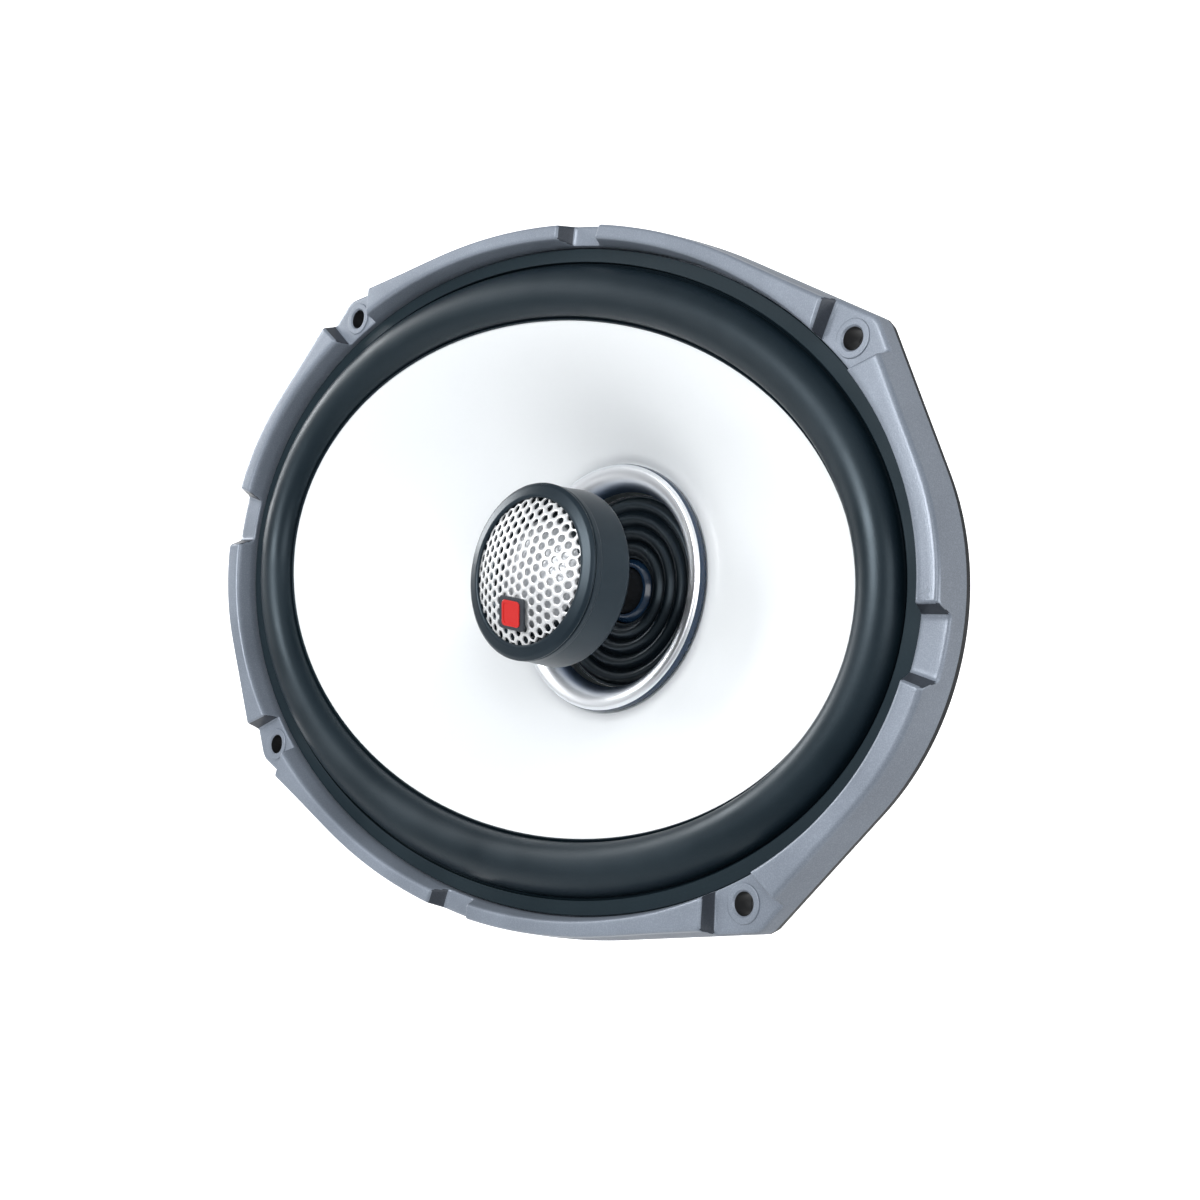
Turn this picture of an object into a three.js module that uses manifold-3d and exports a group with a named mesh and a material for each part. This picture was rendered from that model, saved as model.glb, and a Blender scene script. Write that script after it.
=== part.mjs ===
// A 6 x 9 inch two-way coaxial car speaker: oval woofer with a fixed post-mounted dome tweeter.
// Units are millimetres. X is the long axis, Z is up, and the front of the speaker faces -Y.
// The origin is on the speaker's axis, in the rear plane of the mounting flange, so a Y value
// is the depth behind that plane and everything in front of it is negative.

import * as THREE from 'three';
import { mergeVertices } from 'three/addons/utils/BufferGeometryUtils.js';
import Module from 'manifold-3d';

const wasm = await Module();
wasm.setup();

// ---------------------------------------------------------------- driving dimensions

const GAP = 0.3; // air between pieces that touch
const OVAL_STEPS = 32; // facets round an oval piece
const ROUND_STEPS = 20; // facets round a large round piece
const SMALL_STEPS = 12; // facets round a small round piece

// flange outline: three arcs per quadrant joined by straight runs
const TOP_ARC = { centre: [0, -84], radius: 165.2 };
const END_ARC = { centre: [60.2, 0], radius: 58 };
const TOP_SLOPE = THREE.MathUtils.degToRad(72.93); // direction of the normal of the top run
const SIDE_SLOPE = THREE.MathUtils.degToRad(35); // direction of the normal of the side run
const CORNER_RADIUS = 4;
const BOLT_X = 82.55; // mounting holes: 165.1 x 114.3 mm apart
const BOLT_Z = 57.15;
const BOLT_RADIUS = 2.45;
const BOLT_SEAT_RADIUS = 4;

// depths of the rim and what it holds
const LAND_FRONT = -10.5;
const FLOOR_FRONT = -6.5;
const SEAT_RAISE = 0.3;
const RIM_BACK = -1.3;
const SHELF_FRONT = -3;
const FLANGE_FRONT = -1;
const GASKET_FRONT = -5.5;
const CONE_EDGE = -4.5;

// ovals, as half width and half height
const RIM_MOUTH = [111.2, 76.3];
const RIM_MOUTH_FRONT = [112.7, 77.3];
const RIM_SHELF = [106.6, 72.6];
const GASKET_INSIDE = [107, 72.8];
const BASKET_MOUTH = [105, 71];
const CONE_OUTER = [95, 59.7];

// cone and what rides with it
const CONE_THICKNESS = 1.2;
const TRIM_OUTER = 30.3;
const TRIM_FOOT = 22;
const TRIM_CREST = [28.8, 20.3];
const TRIM_INNER = 23.8;
const TRIM_BACK = 27.5;
const TRIM_THICKNESS = 0.8;
const FORMER_RADIUS = 15.4;
const NECK_DEPTH = 35.3;

// motor
const SEAT_PLATE_BACK = 51.2;
const TOP_PLATE = { front: 51.5, back: 57.5, outer: 46, inner: 17.4 };
const MAGNET = { front: 57.8, back: 75.5, outer: 50, inner: 24 };
const BACK_PLATE = { front: 75.8, back: 81.8, outer: 46 };
const POLE = { front: 50, radius: 14.4 };

// tweeter and its post
const POST_RADIUS = 5.5;
const POST_BORE = 1.6;
const CUP = { front: -3.6, back: 7.8, outerFront: 20.9, outerBack: 21.3, wall: 1.4 };
const MESH_RADIUS = 17;
const MESH_EDGE = -5;
const MESH_APEX = -8.9;
const MESH_THICKNESS = 0.5;
const DOME_RADIUS = 12.6;
const BADGE_PLATE = { x: 0.6, z: -10.2, width: 8.5, height: 7.7, corner: 0.8 };
const BADGE_INLAY = { x: 0.6, z: -10.2, width: 6.1, height: 6.1, corner: 0.9 };
const BADGE_TILT = 14.1; // slope of the mesh at the badge, in degrees
const BADGE_DEPTH = -7.62; // depth of the mesh's front at the badge

// terminals
const TAB_X = 11.5;
const TAB_Z = -64.5;
const TAB_THICKNESS = 0.8;
const TAB_ROOT_STEP = 0.1;
const TAB_FRONT = 38;
const TAB_BACK = 58;
const BLOCK = { x: 17.5, front: 42.3, back: 46.3, low: -69, high: -52.5 };

// ---------------------------------------------------------------- finishes

const finish = (color, roughness, metalness) => ({ color, roughness, metalness });
const RIM_PAINT = finish(0x8d989f, 0.42, 0.6);
const BLACK_STEEL = finish(0x17191b, 0.5, 0.6);
const ZINC_STEEL = finish(0xa9adb0, 0.35, 0.9);
const FERRITE = finish(0x2b2b2d, 0.75, 0.1);
const RUBBER = finish(0x16191f, 0.55, 0);
const GASKET_RUBBER = finish(0x30383e, 0.6, 0);
const WHITE_CONE = finish(0xf3f6f8, 0.3, 0);
const CHROME = finish(0xd8dde2, 0.1, 1);
const BLACK_CLOTH = finish(0x1d1f22, 0.7, 0);
const AMBER_CLOTH = finish(0xb98a3f, 0.8, 0);
const COPPER = finish(0xb5652a, 0.35, 0.9);
const KAPTON = finish(0x9a6524, 0.4, 0);
const BLACK_PLASTIC = finish(0x2d3238, 0.55, 0);
const SILVER_MESH = finish(0xd5d8da, 0.35, 0.8);
const SILVER_DOME = finish(0xc3c8cc, 0.3, 0.7);
const RED_INLAY = finish(0xe02e28, 0.4, 0);
const TIN = finish(0xc2c4c0, 0.3, 0.9);
const WIRE = finish(0x1a1a1a, 0.6, 0);

// ---------------------------------------------------------------- solid helpers

// A closed geometry as a solid, with its faces turned outwards.
function solid(geometry) {
  const bare = geometry.clone();
  bare.deleteAttribute('normal');
  bare.deleteAttribute('uv');
  const merged = mergeVertices(bare, 1e-4);
  const places = merged.attributes.position.array;
  const corners = merged.index.array;
  const faces = [];
  let volume = 0;
  for (let i = 0; i < corners.length; i += 3) {
    const [a, b, c] = [corners[i], corners[i + 1], corners[i + 2]];
    if (a === b || b === c || c === a) continue;
    faces.push([a, b, c]);
    const [p, q, r] = [a, b, c].map((k) => new THREE.Vector3().fromArray(places, 3 * k));
    volume += p.dot(q.cross(r));
  }
  const triVerts = Uint32Array.from(faces.flatMap(([a, b, c]) => (volume < 0 ? [a, c, b] : [a, b, c])));
  const vertProperties = Float32Array.from(places);
  return new wasm.Manifold(new wasm.Mesh({ numProp: 3, vertProperties, triVerts }));
}

// A named mesh made from a solid.
function piece(name, body, { color, roughness, metalness }) {
  const { vertProperties, triVerts, numProp } = body.getMesh();
  const places = new Float32Array((vertProperties.length / numProp) * 3);
  for (let i = 0; i < places.length / 3; i++) {
    places.set(vertProperties.subarray(i * numProp, i * numProp + 3), 3 * i);
  }
  const geometry = new THREE.BufferGeometry();
  geometry.setAttribute('position', new THREE.BufferAttribute(places, 3));
  geometry.setIndex(new THREE.BufferAttribute(Uint32Array.from(triVerts), 1));
  geometry.computeVertexNormals();
  const mesh = new THREE.Mesh(geometry, new THREE.MeshStandardMaterial({ color, roughness, metalness }));
  mesh.name = name;
  return mesh;
}

// A ring or disc round the Y axis. Each profile point is [half width, half height, depth].
function oval(profile, steps = OVAL_STEPS) {
  const onAxis = profile[0][0] === 0;
  const loop = onAxis ? profile : [...profile, profile[0]];
  const lathe = new THREE.LatheGeometry(loop.map(([a, , y]) => new THREE.Vector2(a, y)), steps);
  const places = lathe.attributes.position;
  for (let i = 0; i < places.count; i++) {
    const [a, b] = loop[i % loop.length];
    if (a > 0) places.setZ(i, (places.getZ(i) * b) / a);
  }
  return solid(lathe);
}

// A round ring or disc. Each profile point is [radius, depth].
function turned(profile, steps = ROUND_STEPS) {
  return oval(profile.map(([r, y]) => [r, r, y]), steps);
}

// A straight-sided oval band between two depths.
function ovalBand([outerX, outerZ], [innerX, innerZ], front, back) {
  return oval([
    [outerX, outerZ, front],
    [outerX, outerZ, back],
    [innerX, innerZ, back],
    [innerX, innerZ, front],
  ]);
}

// A filled oval plug between two depths, used as a cutter.
function ovalPlug([frontX, frontZ], [backX, backZ], front, back) {
  return oval([
    [0, 0, front],
    [frontX, frontZ, front],
    [backX, backZ, back],
    [0, 0, back],
  ]);
}

// A flat outline in X and Z, extruded between two depths.
function plate(outline, front, back, bevel = 0) {
  const shape = new THREE.Shape(outline.map(([x, z]) => new THREE.Vector2(x, z)));
  const options = { depth: back - front - 2 * bevel, bevelEnabled: bevel > 0, steps: 1 };
  Object.assign(options, { bevelThickness: bevel, bevelSize: bevel, bevelSegments: 1 });
  const geometry = new THREE.ExtrudeGeometry(shape, options);
  geometry.rotateX(Math.PI / 2);
  geometry.translate(0, back - bevel, 0);
  return solid(geometry);
}

// A round bar along Y.
function rod(radius, front, back, x = 0, z = 0, steps = SMALL_STEPS) {
  const geometry = new THREE.CylinderGeometry(radius, radius, back - front, steps);
  geometry.translate(x, (front + back) / 2, z);
  return solid(geometry);
}

// A box given by its low and high corners.
function block([x0, y0, z0], [x1, y1, z1]) {
  const geometry = new THREE.BoxGeometry(x1 - x0, y1 - y0, z1 - z0);
  geometry.translate((x0 + x1) / 2, (y0 + y1) / 2, (z0 + z1) / 2);
  return solid(geometry);
}

// A round wire along a smooth route.
function wire(points, radius, steps, sides = 8) {
  const route = new THREE.CatmullRomCurve3(points.map((p) => new THREE.Vector3(...p)), false, 'centripetal');
  const section = new THREE.Shape();
  for (let i = 0; i < sides; i++) {
    const turn = (2 * Math.PI * i) / sides;
    const move = i === 0 ? 'moveTo' : 'lineTo';
    section[move](radius * Math.cos(turn), radius * Math.sin(turn));
  }
  section.closePath();
  return solid(new THREE.ExtrudeGeometry(section, { steps, extrudePath: route, bevelEnabled: false }));
}

const QUADRANTS = [[1, 1], [1, -1], [-1, -1], [-1, 1]];

// ---------------------------------------------------------------- flange outline

// Centre of the corner arc: where the two straight runs, moved in by its radius, cross.
function cornerCentre() {
  const n1 = [Math.cos(TOP_SLOPE), Math.sin(TOP_SLOPE)];
  const n2 = [Math.cos(SIDE_SLOPE), Math.sin(SIDE_SLOPE)];
  const d1 = n1[1] * TOP_ARC.centre[1] + TOP_ARC.radius - CORNER_RADIUS;
  const d2 = n2[0] * END_ARC.centre[0] + END_ARC.radius - CORNER_RADIUS;
  const det = n1[0] * n2[1] - n1[1] * n2[0];
  return [(d1 * n2[1] - d2 * n1[1]) / det, (n1[0] * d2 - n2[0] * d1) / det];
}

// The closed outline of the flange, moved in by inset.
function flangeOutline(inset = 0) {
  const arcs = [
    { centre: TOP_ARC.centre, radius: TOP_ARC.radius, from: Math.PI / 2, to: TOP_SLOPE, steps: 5 },
    { centre: cornerCentre(), radius: CORNER_RADIUS, from: TOP_SLOPE, to: SIDE_SLOPE, steps: 3 },
    { centre: END_ARC.centre, radius: END_ARC.radius, from: SIDE_SLOPE, to: 0, steps: 6 },
  ];
  const quarter = [];
  for (const { centre, radius, from, to, steps } of arcs) {
    for (let i = 0; i <= steps; i++) {
      const turn = from + ((to - from) * i) / steps;
      const reach = radius - inset;
      quarter.push([centre[0] + reach * Math.cos(turn), centre[1] + reach * Math.sin(turn)]);
    }
  }
  const round = [];
  QUADRANTS.forEach(([sx, sz], index) => {
    const part = quarter.map(([x, z]) => [sx * x, sz * z]);
    round.push(...(index % 2 ? part.reverse() : part).slice(0, -1));
  });
  return round;
}

// ---------------------------------------------------------------- mounting rim

// Plan shapes of the gaps between the raised lands: four round the holes, four at mid side.
function notchOutlines() {
  const corner = [[73.4, 50], [77.2, 75], [112, 75], [104, 59.5], [80, 47.7]];
  const notches = QUADRANTS.map(([sx, sz]) => corner.map(([x, z]) => [sx * x, sz * z]));
  for (const side of [-1, 1]) {
    notches.push([[100, -3.8], [100, 3.8], [125, 9.9], [125, -9.9]].map(([x, z]) => [side * x, z]));
    notches.push([[-5.2, 70], [5.2, 70], [8.5, 90], [-8.5, 90]].map(([x, z]) => [x, side * z]));
  }
  return notches;
}

function mountingRim() {
  const landInset = 1.4;
  const bevel = 0.8;
  let rim = plate(flangeOutline(), FLOOR_FRONT, RIM_BACK);
  let lands = plate(flangeOutline(landInset), LAND_FRONT, FLOOR_FRONT + 3, bevel);
  for (const notch of notchOutlines()) {
    lands = lands.subtract(plate(notch, LAND_FRONT - 1, FLOOR_FRONT));
  }
  rim = rim.add(lands);
  rim = rim.subtract(ovalPlug(RIM_MOUTH_FRONT, RIM_MOUTH, LAND_FRONT - 0.01, FLOOR_FRONT));
  rim = rim.subtract(ovalPlug(RIM_MOUTH, RIM_MOUTH, FLOOR_FRONT - 0.01, SHELF_FRONT));
  rim = rim.subtract(ovalPlug(RIM_SHELF, RIM_SHELF, SHELF_FRONT - 0.01, RIM_BACK + 1));
  for (const [sx, sz] of QUADRANTS) {
    const [x, z] = [sx * BOLT_X, sz * BOLT_Z];
    rim = rim.add(rod(BOLT_SEAT_RADIUS, FLOOR_FRONT - SEAT_RAISE, FLOOR_FRONT + 1, x, z));
    rim = rim.subtract(rod(BOLT_RADIUS, LAND_FRONT - 1, RIM_BACK + 1, x, z));
  }
  return piece('mounting_rim', rim, RIM_PAINT);
}

// ---------------------------------------------------------------- basket

const RIVET_HOLE = 1.7;
const TERMINAL_RIVET = [11, -55.3];
const MOTOR_RIVET_CIRCLE = 32;

// Plan outline of one window between two legs, centred on the given angle round the oval.
function windowOutline(centre) {
  const [outer, inner] = [[98, 67.3], [68, 61.3]];
  const [halfOuter, halfInner] = [15.5, 13.5];
  const points = [];
  const add = (ring, degrees) => {
    const turn = THREE.MathUtils.degToRad(degrees);
    points.push([ring[0] * Math.cos(turn), ring[1] * Math.sin(turn)]);
  };
  for (const step of [-1, 0, 1]) add(outer, centre + step * halfOuter);
  for (const step of [1, 0, -1]) add(inner, centre + step * halfInner);
  return points;
}

function basket() {
  const wall = oval([
    [106.5, 72.5, -0.5],
    [104, 69.8, 7],
    [62, 60, 42],
    [50.5, 50.5, 42],
    [48.5, 48.5, SEAT_PLATE_BACK],
    [20, 20, SEAT_PLATE_BACK],
    [20, 20, 49.7],
    [47, 47, 49.7],
    [49, 49, 40.4],
    [61, 59, 40.4],
    [102.2, 68, 6.6],
    [104.8, 70.8, -0.5],
  ]);
  const flange = plate(flangeOutline(0.5), FLANGE_FRONT, 0);
  let body = wall.add(flange.subtract(ovalPlug(BASKET_MOUTH, BASKET_MOUTH, -3, 1)));
  for (let centre = 0; centre < 360; centre += 45) {
    body = body.subtract(plate(windowOutline(centre), 3, 41.2));
  }
  for (const [sx, sz] of QUADRANTS) {
    body = body.subtract(rod(BOLT_RADIUS + 0.15, -2, 2, sx * BOLT_X, sz * BOLT_Z));
    const reach = MOTOR_RIVET_CIRCLE * Math.SQRT1_2;
    body = body.subtract(rod(RIVET_HOLE, 48, 53, sx * reach, sz * reach));
  }
  for (const side of [-1, 1]) {
    body = body.subtract(rod(RIVET_HOLE, 39, 43, side * TERMINAL_RIVET[0], TERMINAL_RIVET[1]));
  }
  return piece('basket', body, BLACK_STEEL);
}

// ---------------------------------------------------------------- surround and gasket

function surroundGasket() {
  const outer = RIM_MOUTH.map((half) => half - GAP);
  return piece('surround_gasket', ovalBand(outer, GASKET_INSIDE, GASKET_FRONT, -4.3), GASKET_RUBBER);
}

// Half-roll rubber surround: an outer glue flange, the roll, and an inner lip on the cone edge.
function coneSurround() {
  const thickness = 0.8;
  const steps = 6;
  const rollOuter = [106.2, 72.2];
  const rollInner = [95.6, 60.3];
  const bulge = 5;
  const rollFoot = -4.3;
  const front = [];
  const back = [];
  for (let i = 0; i <= steps; i++) {
    const turn = (Math.PI * i) / steps;
    const across = (1 - Math.cos(turn)) / 2;
    const half = [0, 1].map((k) => rollOuter[k] + (rollInner[k] - rollOuter[k]) * across);
    const pull = thickness * Math.cos(turn);
    front.push([half[0], half[1], rollFoot - bulge * Math.sin(turn)]);
    back.push([half[0] - pull, half[1] - pull, rollFoot - (bulge - thickness) * Math.sin(turn)]);
  }
  const flange = [[110.6, 75.8, -4], [106.9, 72.9, -4]];
  const flangeBack = SHELF_FRONT - GAP;
  const underside = [[105.4, 71.4, flangeBack], [110.6, 75.8, flangeBack]];
  const profile = [...flange, ...front, ...back.reverse(), ...underside];
  return piece('cone_surround', oval(profile), RUBBER);
}

// ---------------------------------------------------------------- cone assembly

// Front face of the cone from its edge to the trim ring, then on down to the neck.
function coneFront() {
  const steps = 5;
  const landing = [TRIM_OUTER + 0.3, TRIM_FOOT + TRIM_THICKNESS + GAP];
  const curve = 1.2; // above 1 the cone flares towards its edge
  const points = [];
  for (let i = 0; i <= steps; i++) {
    const t = i / steps;
    const half = CONE_OUTER.map((edge) => edge + (landing[0] - edge) * t);
    points.push([...half, CONE_EDGE + (landing[1] - CONE_EDGE) * t ** curve]);
  }
  const neck = FORMER_RADIUS + GAP;
  points.push([neck, neck, NECK_DEPTH]);
  return points;
}

function cone() {
  const front = coneFront();
  const back = front.map(([a, b, y]) => [a, b, y + CONE_THICKNESS]).reverse();
  return piece('cone', oval([...front, ...back]), WHITE_CONE);
}

function coneTrimRing() {
  const ring = turned([
    [TRIM_OUTER, TRIM_FOOT],
    [TRIM_OUTER - 0.4, TRIM_CREST[1] + 0.5],
    TRIM_CREST,
    [26.35, 21.3],
    [24.5, 23.9],
    [TRIM_INNER, TRIM_BACK],
    [TRIM_INNER, TRIM_BACK + TRIM_THICKNESS],
    [TRIM_OUTER, TRIM_FOOT + TRIM_THICKNESS],
  ]);
  return piece('cone_trim_ring', ring, CHROME);
}

// A pleated ring, folded to and fro about its depth, such as a seal or a spider.
function pleated({ outer, inner, depth, height, waves, thickness }) {
  const steps = 2 * waves;
  const front = [];
  for (let i = 0; i <= steps; i++) {
    const isEnd = i === 0 || i === steps;
    const lift = isEnd ? 0 : (height / 2) * (i % 2 ? 1 : -1);
    front.push([outer + ((inner - outer) * i) / steps, depth - lift]);
  }
  const back = front.map(([r, y]) => [r, y + thickness]).reverse();
  return turned([...front, ...back]);
}

function dustSeal() {
  const shape = { outer: 23.4, inner: 8.3, depth: 27.2, height: 1.8, waves: 4, thickness: 0.5 };
  return piece('dust_seal', pleated(shape), BLACK_CLOTH);
}

function spider() {
  const shape = { outer: 53, inner: 15.8, depth: 39.2, height: 1.2, waves: 5, thickness: 0.5 };
  return piece('spider', pleated(shape), AMBER_CLOTH);
}

// A plain round tube.
function tube(outer, inner, front, back, steps = ROUND_STEPS) {
  return turned([[outer, front], [outer, back], [inner, back], [inner, front]], steps);
}

function coilFormer() {
  return piece('coil_former', tube(FORMER_RADIUS, FORMER_RADIUS - 0.4, 34.5, 62), KAPTON);
}

function voiceCoil() {
  return piece('voice_coil', tube(FORMER_RADIUS + 1.3, FORMER_RADIUS + GAP, 47.5, 61.5), COPPER);
}

// ---------------------------------------------------------------- motor

function topPlate() {
  let ring = tube(TOP_PLATE.outer, TOP_PLATE.inner, TOP_PLATE.front, TOP_PLATE.back);
  for (const [sx, sz] of QUADRANTS) {
    const reach = MOTOR_RIVET_CIRCLE * Math.SQRT1_2;
    ring = ring.subtract(rod(RIVET_HOLE, TOP_PLATE.front - 1, TOP_PLATE.back - 1, sx * reach, sz * reach));
  }
  return piece('top_plate', ring, ZINC_STEEL);
}

function ringMagnet() {
  return piece('ring_magnet', tube(MAGNET.outer, MAGNET.inner, MAGNET.front, MAGNET.back), FERRITE);
}

const NUT = { front: 74.3, back: 77.3, radius: 5.6 };
const NUT_POCKET = 7;

// Rear plate and centre pole in one turned piece, with the post's hole and a cable groove.
function backPlatePole() {
  let body = turned([
    [0, POLE.front],
    [POLE.radius, POLE.front],
    [POLE.radius, BACK_PLATE.front],
    [BACK_PLATE.outer, BACK_PLATE.front],
    [BACK_PLATE.outer, BACK_PLATE.back - 1],
    [BACK_PLATE.outer - 1, BACK_PLATE.back],
    [0, BACK_PLATE.back],
  ]);
  body = body.subtract(rod(3.5, POLE.front - 1, BACK_PLATE.back + 1));
  body = body.subtract(rod(NUT_POCKET, NUT.front - GAP, BACK_PLATE.back + 1, 0, 0, ROUND_STEPS));
  body = body.subtract(block([-1.7, 78.6, -60], [1.7, 90, -5]));
  return piece('back_plate_pole', body, ZINC_STEEL);
}

function motorRivets() {
  return QUADRANTS.map(([sx, sz], index) => {
    const reach = MOTOR_RIVET_CIRCLE * Math.SQRT1_2;
    const shank = rod(RIVET_HOLE - GAP, 49, TOP_PLATE.back - 1.4, sx * reach, sz * reach);
    const head = rod(2.8, 48.2, 49.4, sx * reach, sz * reach);
    return piece(`motor_rivet_${index + 1}`, shank.add(head), ZINC_STEEL);
  });
}

function rearLabel() {
  const disc = turned([[40, BACK_PLATE.back + GAP], [40, 82.4], [30, 82.4], [30, BACK_PLATE.back + GAP]]);
  const slot = block([-3, 80, -60], [3, 84, 0]);
  return piece('rear_label', disc.subtract(slot), SILVER_DOME);
}

// ---------------------------------------------------------------- tweeter post

function tweeterPost() {
  const post = turned([
    [4, 5.4 - GAP],
    [4, CUP.back + GAP],
    [POST_RADIUS, CUP.back + GAP],
    [POST_RADIUS, POLE.front - GAP],
    [3.2, POLE.front - GAP],
    [3.2, 77.5],
    [POST_BORE, 77.5],
    [POST_BORE, 5.4 - GAP],
  ], SMALL_STEPS + 4);
  return piece('tweeter_post', post, BLACK_STEEL);
}

function sealCollar() {
  const collar = turned([[8, 28.2], [7.3, 27.4], [5.8, 27.4], [5.8, 33], [8, 33]], SMALL_STEPS + 8);
  return piece('seal_collar', collar, BLACK_PLASTIC);
}

function postNut() {
  const nut = rod(NUT.radius, NUT.front, NUT.back, 0, 0, 6);
  return piece('post_nut', nut.subtract(rod(3.5, 70, 80)), ZINC_STEEL);
}

// Two-core cable from the tweeter through the post, then over the motor to the terminals.
function tweeterCable() {
  const route = [
    [0, 5.3, 0], [0, 30, 0], [0, 55, 0], [0, 74, 0], [0, 78.4, -0.8], [0, 80, -4], [0, 80.1, -12],
    [0, 80.1, -28], [0, 80.1, -44], [0, 78.6, -50.6], [0, 75, -52.3], [0, 66, -52.4], [0, 56, -52.6],
    [0, 50, -54], [0, 47.6, -55.6],
  ];
  return piece('tweeter_cable', wire(route, 1, 34), WIRE);
}

// ---------------------------------------------------------------- tweeter

function tweeterCup() {
  const floor = CUP.back - 1.6;
  const cup = turned([
    [CUP.outerFront, CUP.front],
    [CUP.outerBack, CUP.back - 1],
    [CUP.outerBack - 1, CUP.back],
    [4.3, CUP.back],
    [4.3, floor],
    [CUP.outerBack - CUP.wall, floor],
    [CUP.outerFront - CUP.wall, CUP.front],
  ], OVAL_STEPS);
  return piece('tweeter_cup', cup, BLACK_PLASTIC);
}

function tweeterBezel() {
  const ring = turned([
    [20.96, -4.3],
    [20.96, CUP.front - GAP],
    [MESH_RADIUS + GAP, CUP.front - GAP],
    [MESH_RADIUS + GAP, -5.4],
    [17.9, -5.5],
    [20.4, -4.7],
  ], OVAL_STEPS);
  return piece('tweeter_bezel', ring, BLACK_PLASTIC);
}

// Points of a spherical cap from its apex to its edge, as [radius, depth].
function capProfile(radius, apex, edge, steps) {
  const rise = edge - apex;
  const sphere = (radius * radius + rise * rise) / (2 * rise);
  const span = Math.asin(radius / sphere);
  const points = [];
  for (let i = 0; i <= steps; i++) {
    const turn = (span * i) / steps;
    points.push([sphere * Math.sin(turn), apex + sphere * (1 - Math.cos(turn))]);
  }
  points[0][0] = 0;
  return points;
}

function capShell(radius, apex, edge, thickness, steps) {
  const front = capProfile(radius, apex, edge, steps);
  const back = capProfile(radius, apex + thickness, edge + thickness, steps).reverse();
  return turned([...front, ...back]);
}

function tweeterMesh() {
  return piece('tweeter_mesh', capShell(MESH_RADIUS, MESH_APEX, MESH_EDGE, MESH_THICKNESS, 5), SILVER_MESH);
}

// A rounded rectangle in X and Z about the origin.
function roundedOutline(width, height, radius) {
  const points = [];
  for (const [quarter, sx, sz] of [[0, 1, 1], [1, -1, 1], [2, -1, -1], [3, 1, -1]]) {
    for (let i = 0; i <= 2; i++) {
      const turn = ((quarter + i / 2) * Math.PI) / 2;
      const x = sx * (width / 2 - radius) + radius * Math.cos(turn);
      points.push([x, sz * (height / 2 - radius) + radius * Math.sin(turn)]);
    }
  }
  return points;
}

// A flat badge piece laid on the domed mesh, between two heights along the mesh's normal.
function onMesh({ x, z, width, height, corner }, front, back) {
  const flat = plate(roundedOutline(width, height, corner), front, back);
  return flat.rotate([BADGE_TILT, 0, 0]).translate([x, BADGE_DEPTH, z]);
}

function badge() {
  return [
    piece('badge_plate', onMesh(BADGE_PLATE, -1.1, -0.45), BLACK_PLASTIC),
    piece('badge_inlay', onMesh(BADGE_INLAY, -1.75, -1.4), RED_INLAY),
  ];
}

function tweeterFacePlate() {
  return piece('tweeter_face_plate', tube(19.2, 15.2, -2.4, -1), BLACK_PLASTIC);
}

function tweeterDome() {
  return piece('tweeter_dome', capShell(DOME_RADIUS, -4.5, -1.2, 0.3, 4), SILVER_DOME);
}

function tweeterDomeSurround() {
  const ring = turned([[14.9, -1.3], [14, -2], [12.9, -1.3], [12.9, -1], [14, -1.6], [14.9, -1]]);
  return piece('tweeter_dome_surround', ring, BLACK_CLOTH);
}

function tweeterCoil() {
  return piece('tweeter_coil', tube(12.6, 12.1, -0.5, 2.3), COPPER);
}

function tweeterYoke() {
  const cup = turned([[15.5, 0.2], [15.5, 4.8], [2, 4.8], [2, 3.5], [13.1, 3.5], [13.1, 0.2]]);
  return piece('tweeter_yoke', cup, ZINC_STEEL);
}

function tweeterMagnet() {
  return piece('tweeter_magnet', tube(10.6, 2, 1.8, 3.2), FERRITE);
}

function tweeterPoleDisc() {
  return piece('tweeter_pole_disc', tube(11.6, 2, 0.3, 1.5), ZINC_STEEL);
}

// ---------------------------------------------------------------- terminals

const TABS = [
  { name: 'positive', x: TAB_X, width: 6.35 },
  { name: 'negative', x: -TAB_X, width: 4.75 },
];

// A push-on blade with a thinner root that passes through the block.
function tabBlank({ x, width }, extra = 0) {
  const half = width / 2 + extra;
  const blade = TAB_THICKNESS / 2 + extra;
  const root = blade - TAB_ROOT_STEP;
  const back = block([x - half, BLOCK.back + GAP, TAB_Z - blade], [x + half, TAB_BACK, TAB_Z + blade]);
  const front = block([x - half, TAB_FRONT, TAB_Z - root], [x + half, BLOCK.back + 1, TAB_Z + root]);
  return back.add(front);
}

function terminalTabs() {
  return TABS.map((tab) => {
    const hole = rod(0.9, -3, 3, 0, 0, 10).rotate([90, 0, 0]).translate([tab.x, 54.5, TAB_Z]);
    return piece(`${tab.name}_tab`, tabBlank(tab).subtract(hole), TIN);
  });
}

function terminalBlock() {
  const low = [-BLOCK.x, BLOCK.front, BLOCK.low];
  const high = [BLOCK.x, BLOCK.back, BLOCK.high];
  let body = block(low, high);
  for (const tab of TABS) body = body.subtract(tabBlank(tab, GAP));
  for (const side of [-1, 1]) {
    body = body.subtract(rod(RIVET_HOLE, 40, 50, side * TERMINAL_RIVET[0], TERMINAL_RIVET[1]));
  }
  return piece('terminal_block', body, BLACK_PLASTIC);
}

function terminalRivets() {
  return [[-1, 'left'], [1, 'right']].map(([side, label]) => {
    const [x, z] = [side * TERMINAL_RIVET[0], TERMINAL_RIVET[1]];
    const shank = rod(RIVET_HOLE - GAP, 39.4, BLOCK.back + 1, x, z);
    const heads = rod(2.2, 39.1, 40.1, x, z).add(rod(2.2, BLOCK.back + GAP, BLOCK.back + 1.3, x, z));
    return piece(`terminal_rivet_${label}`, shank.add(heads), ZINC_STEEL);
  });
}

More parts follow.
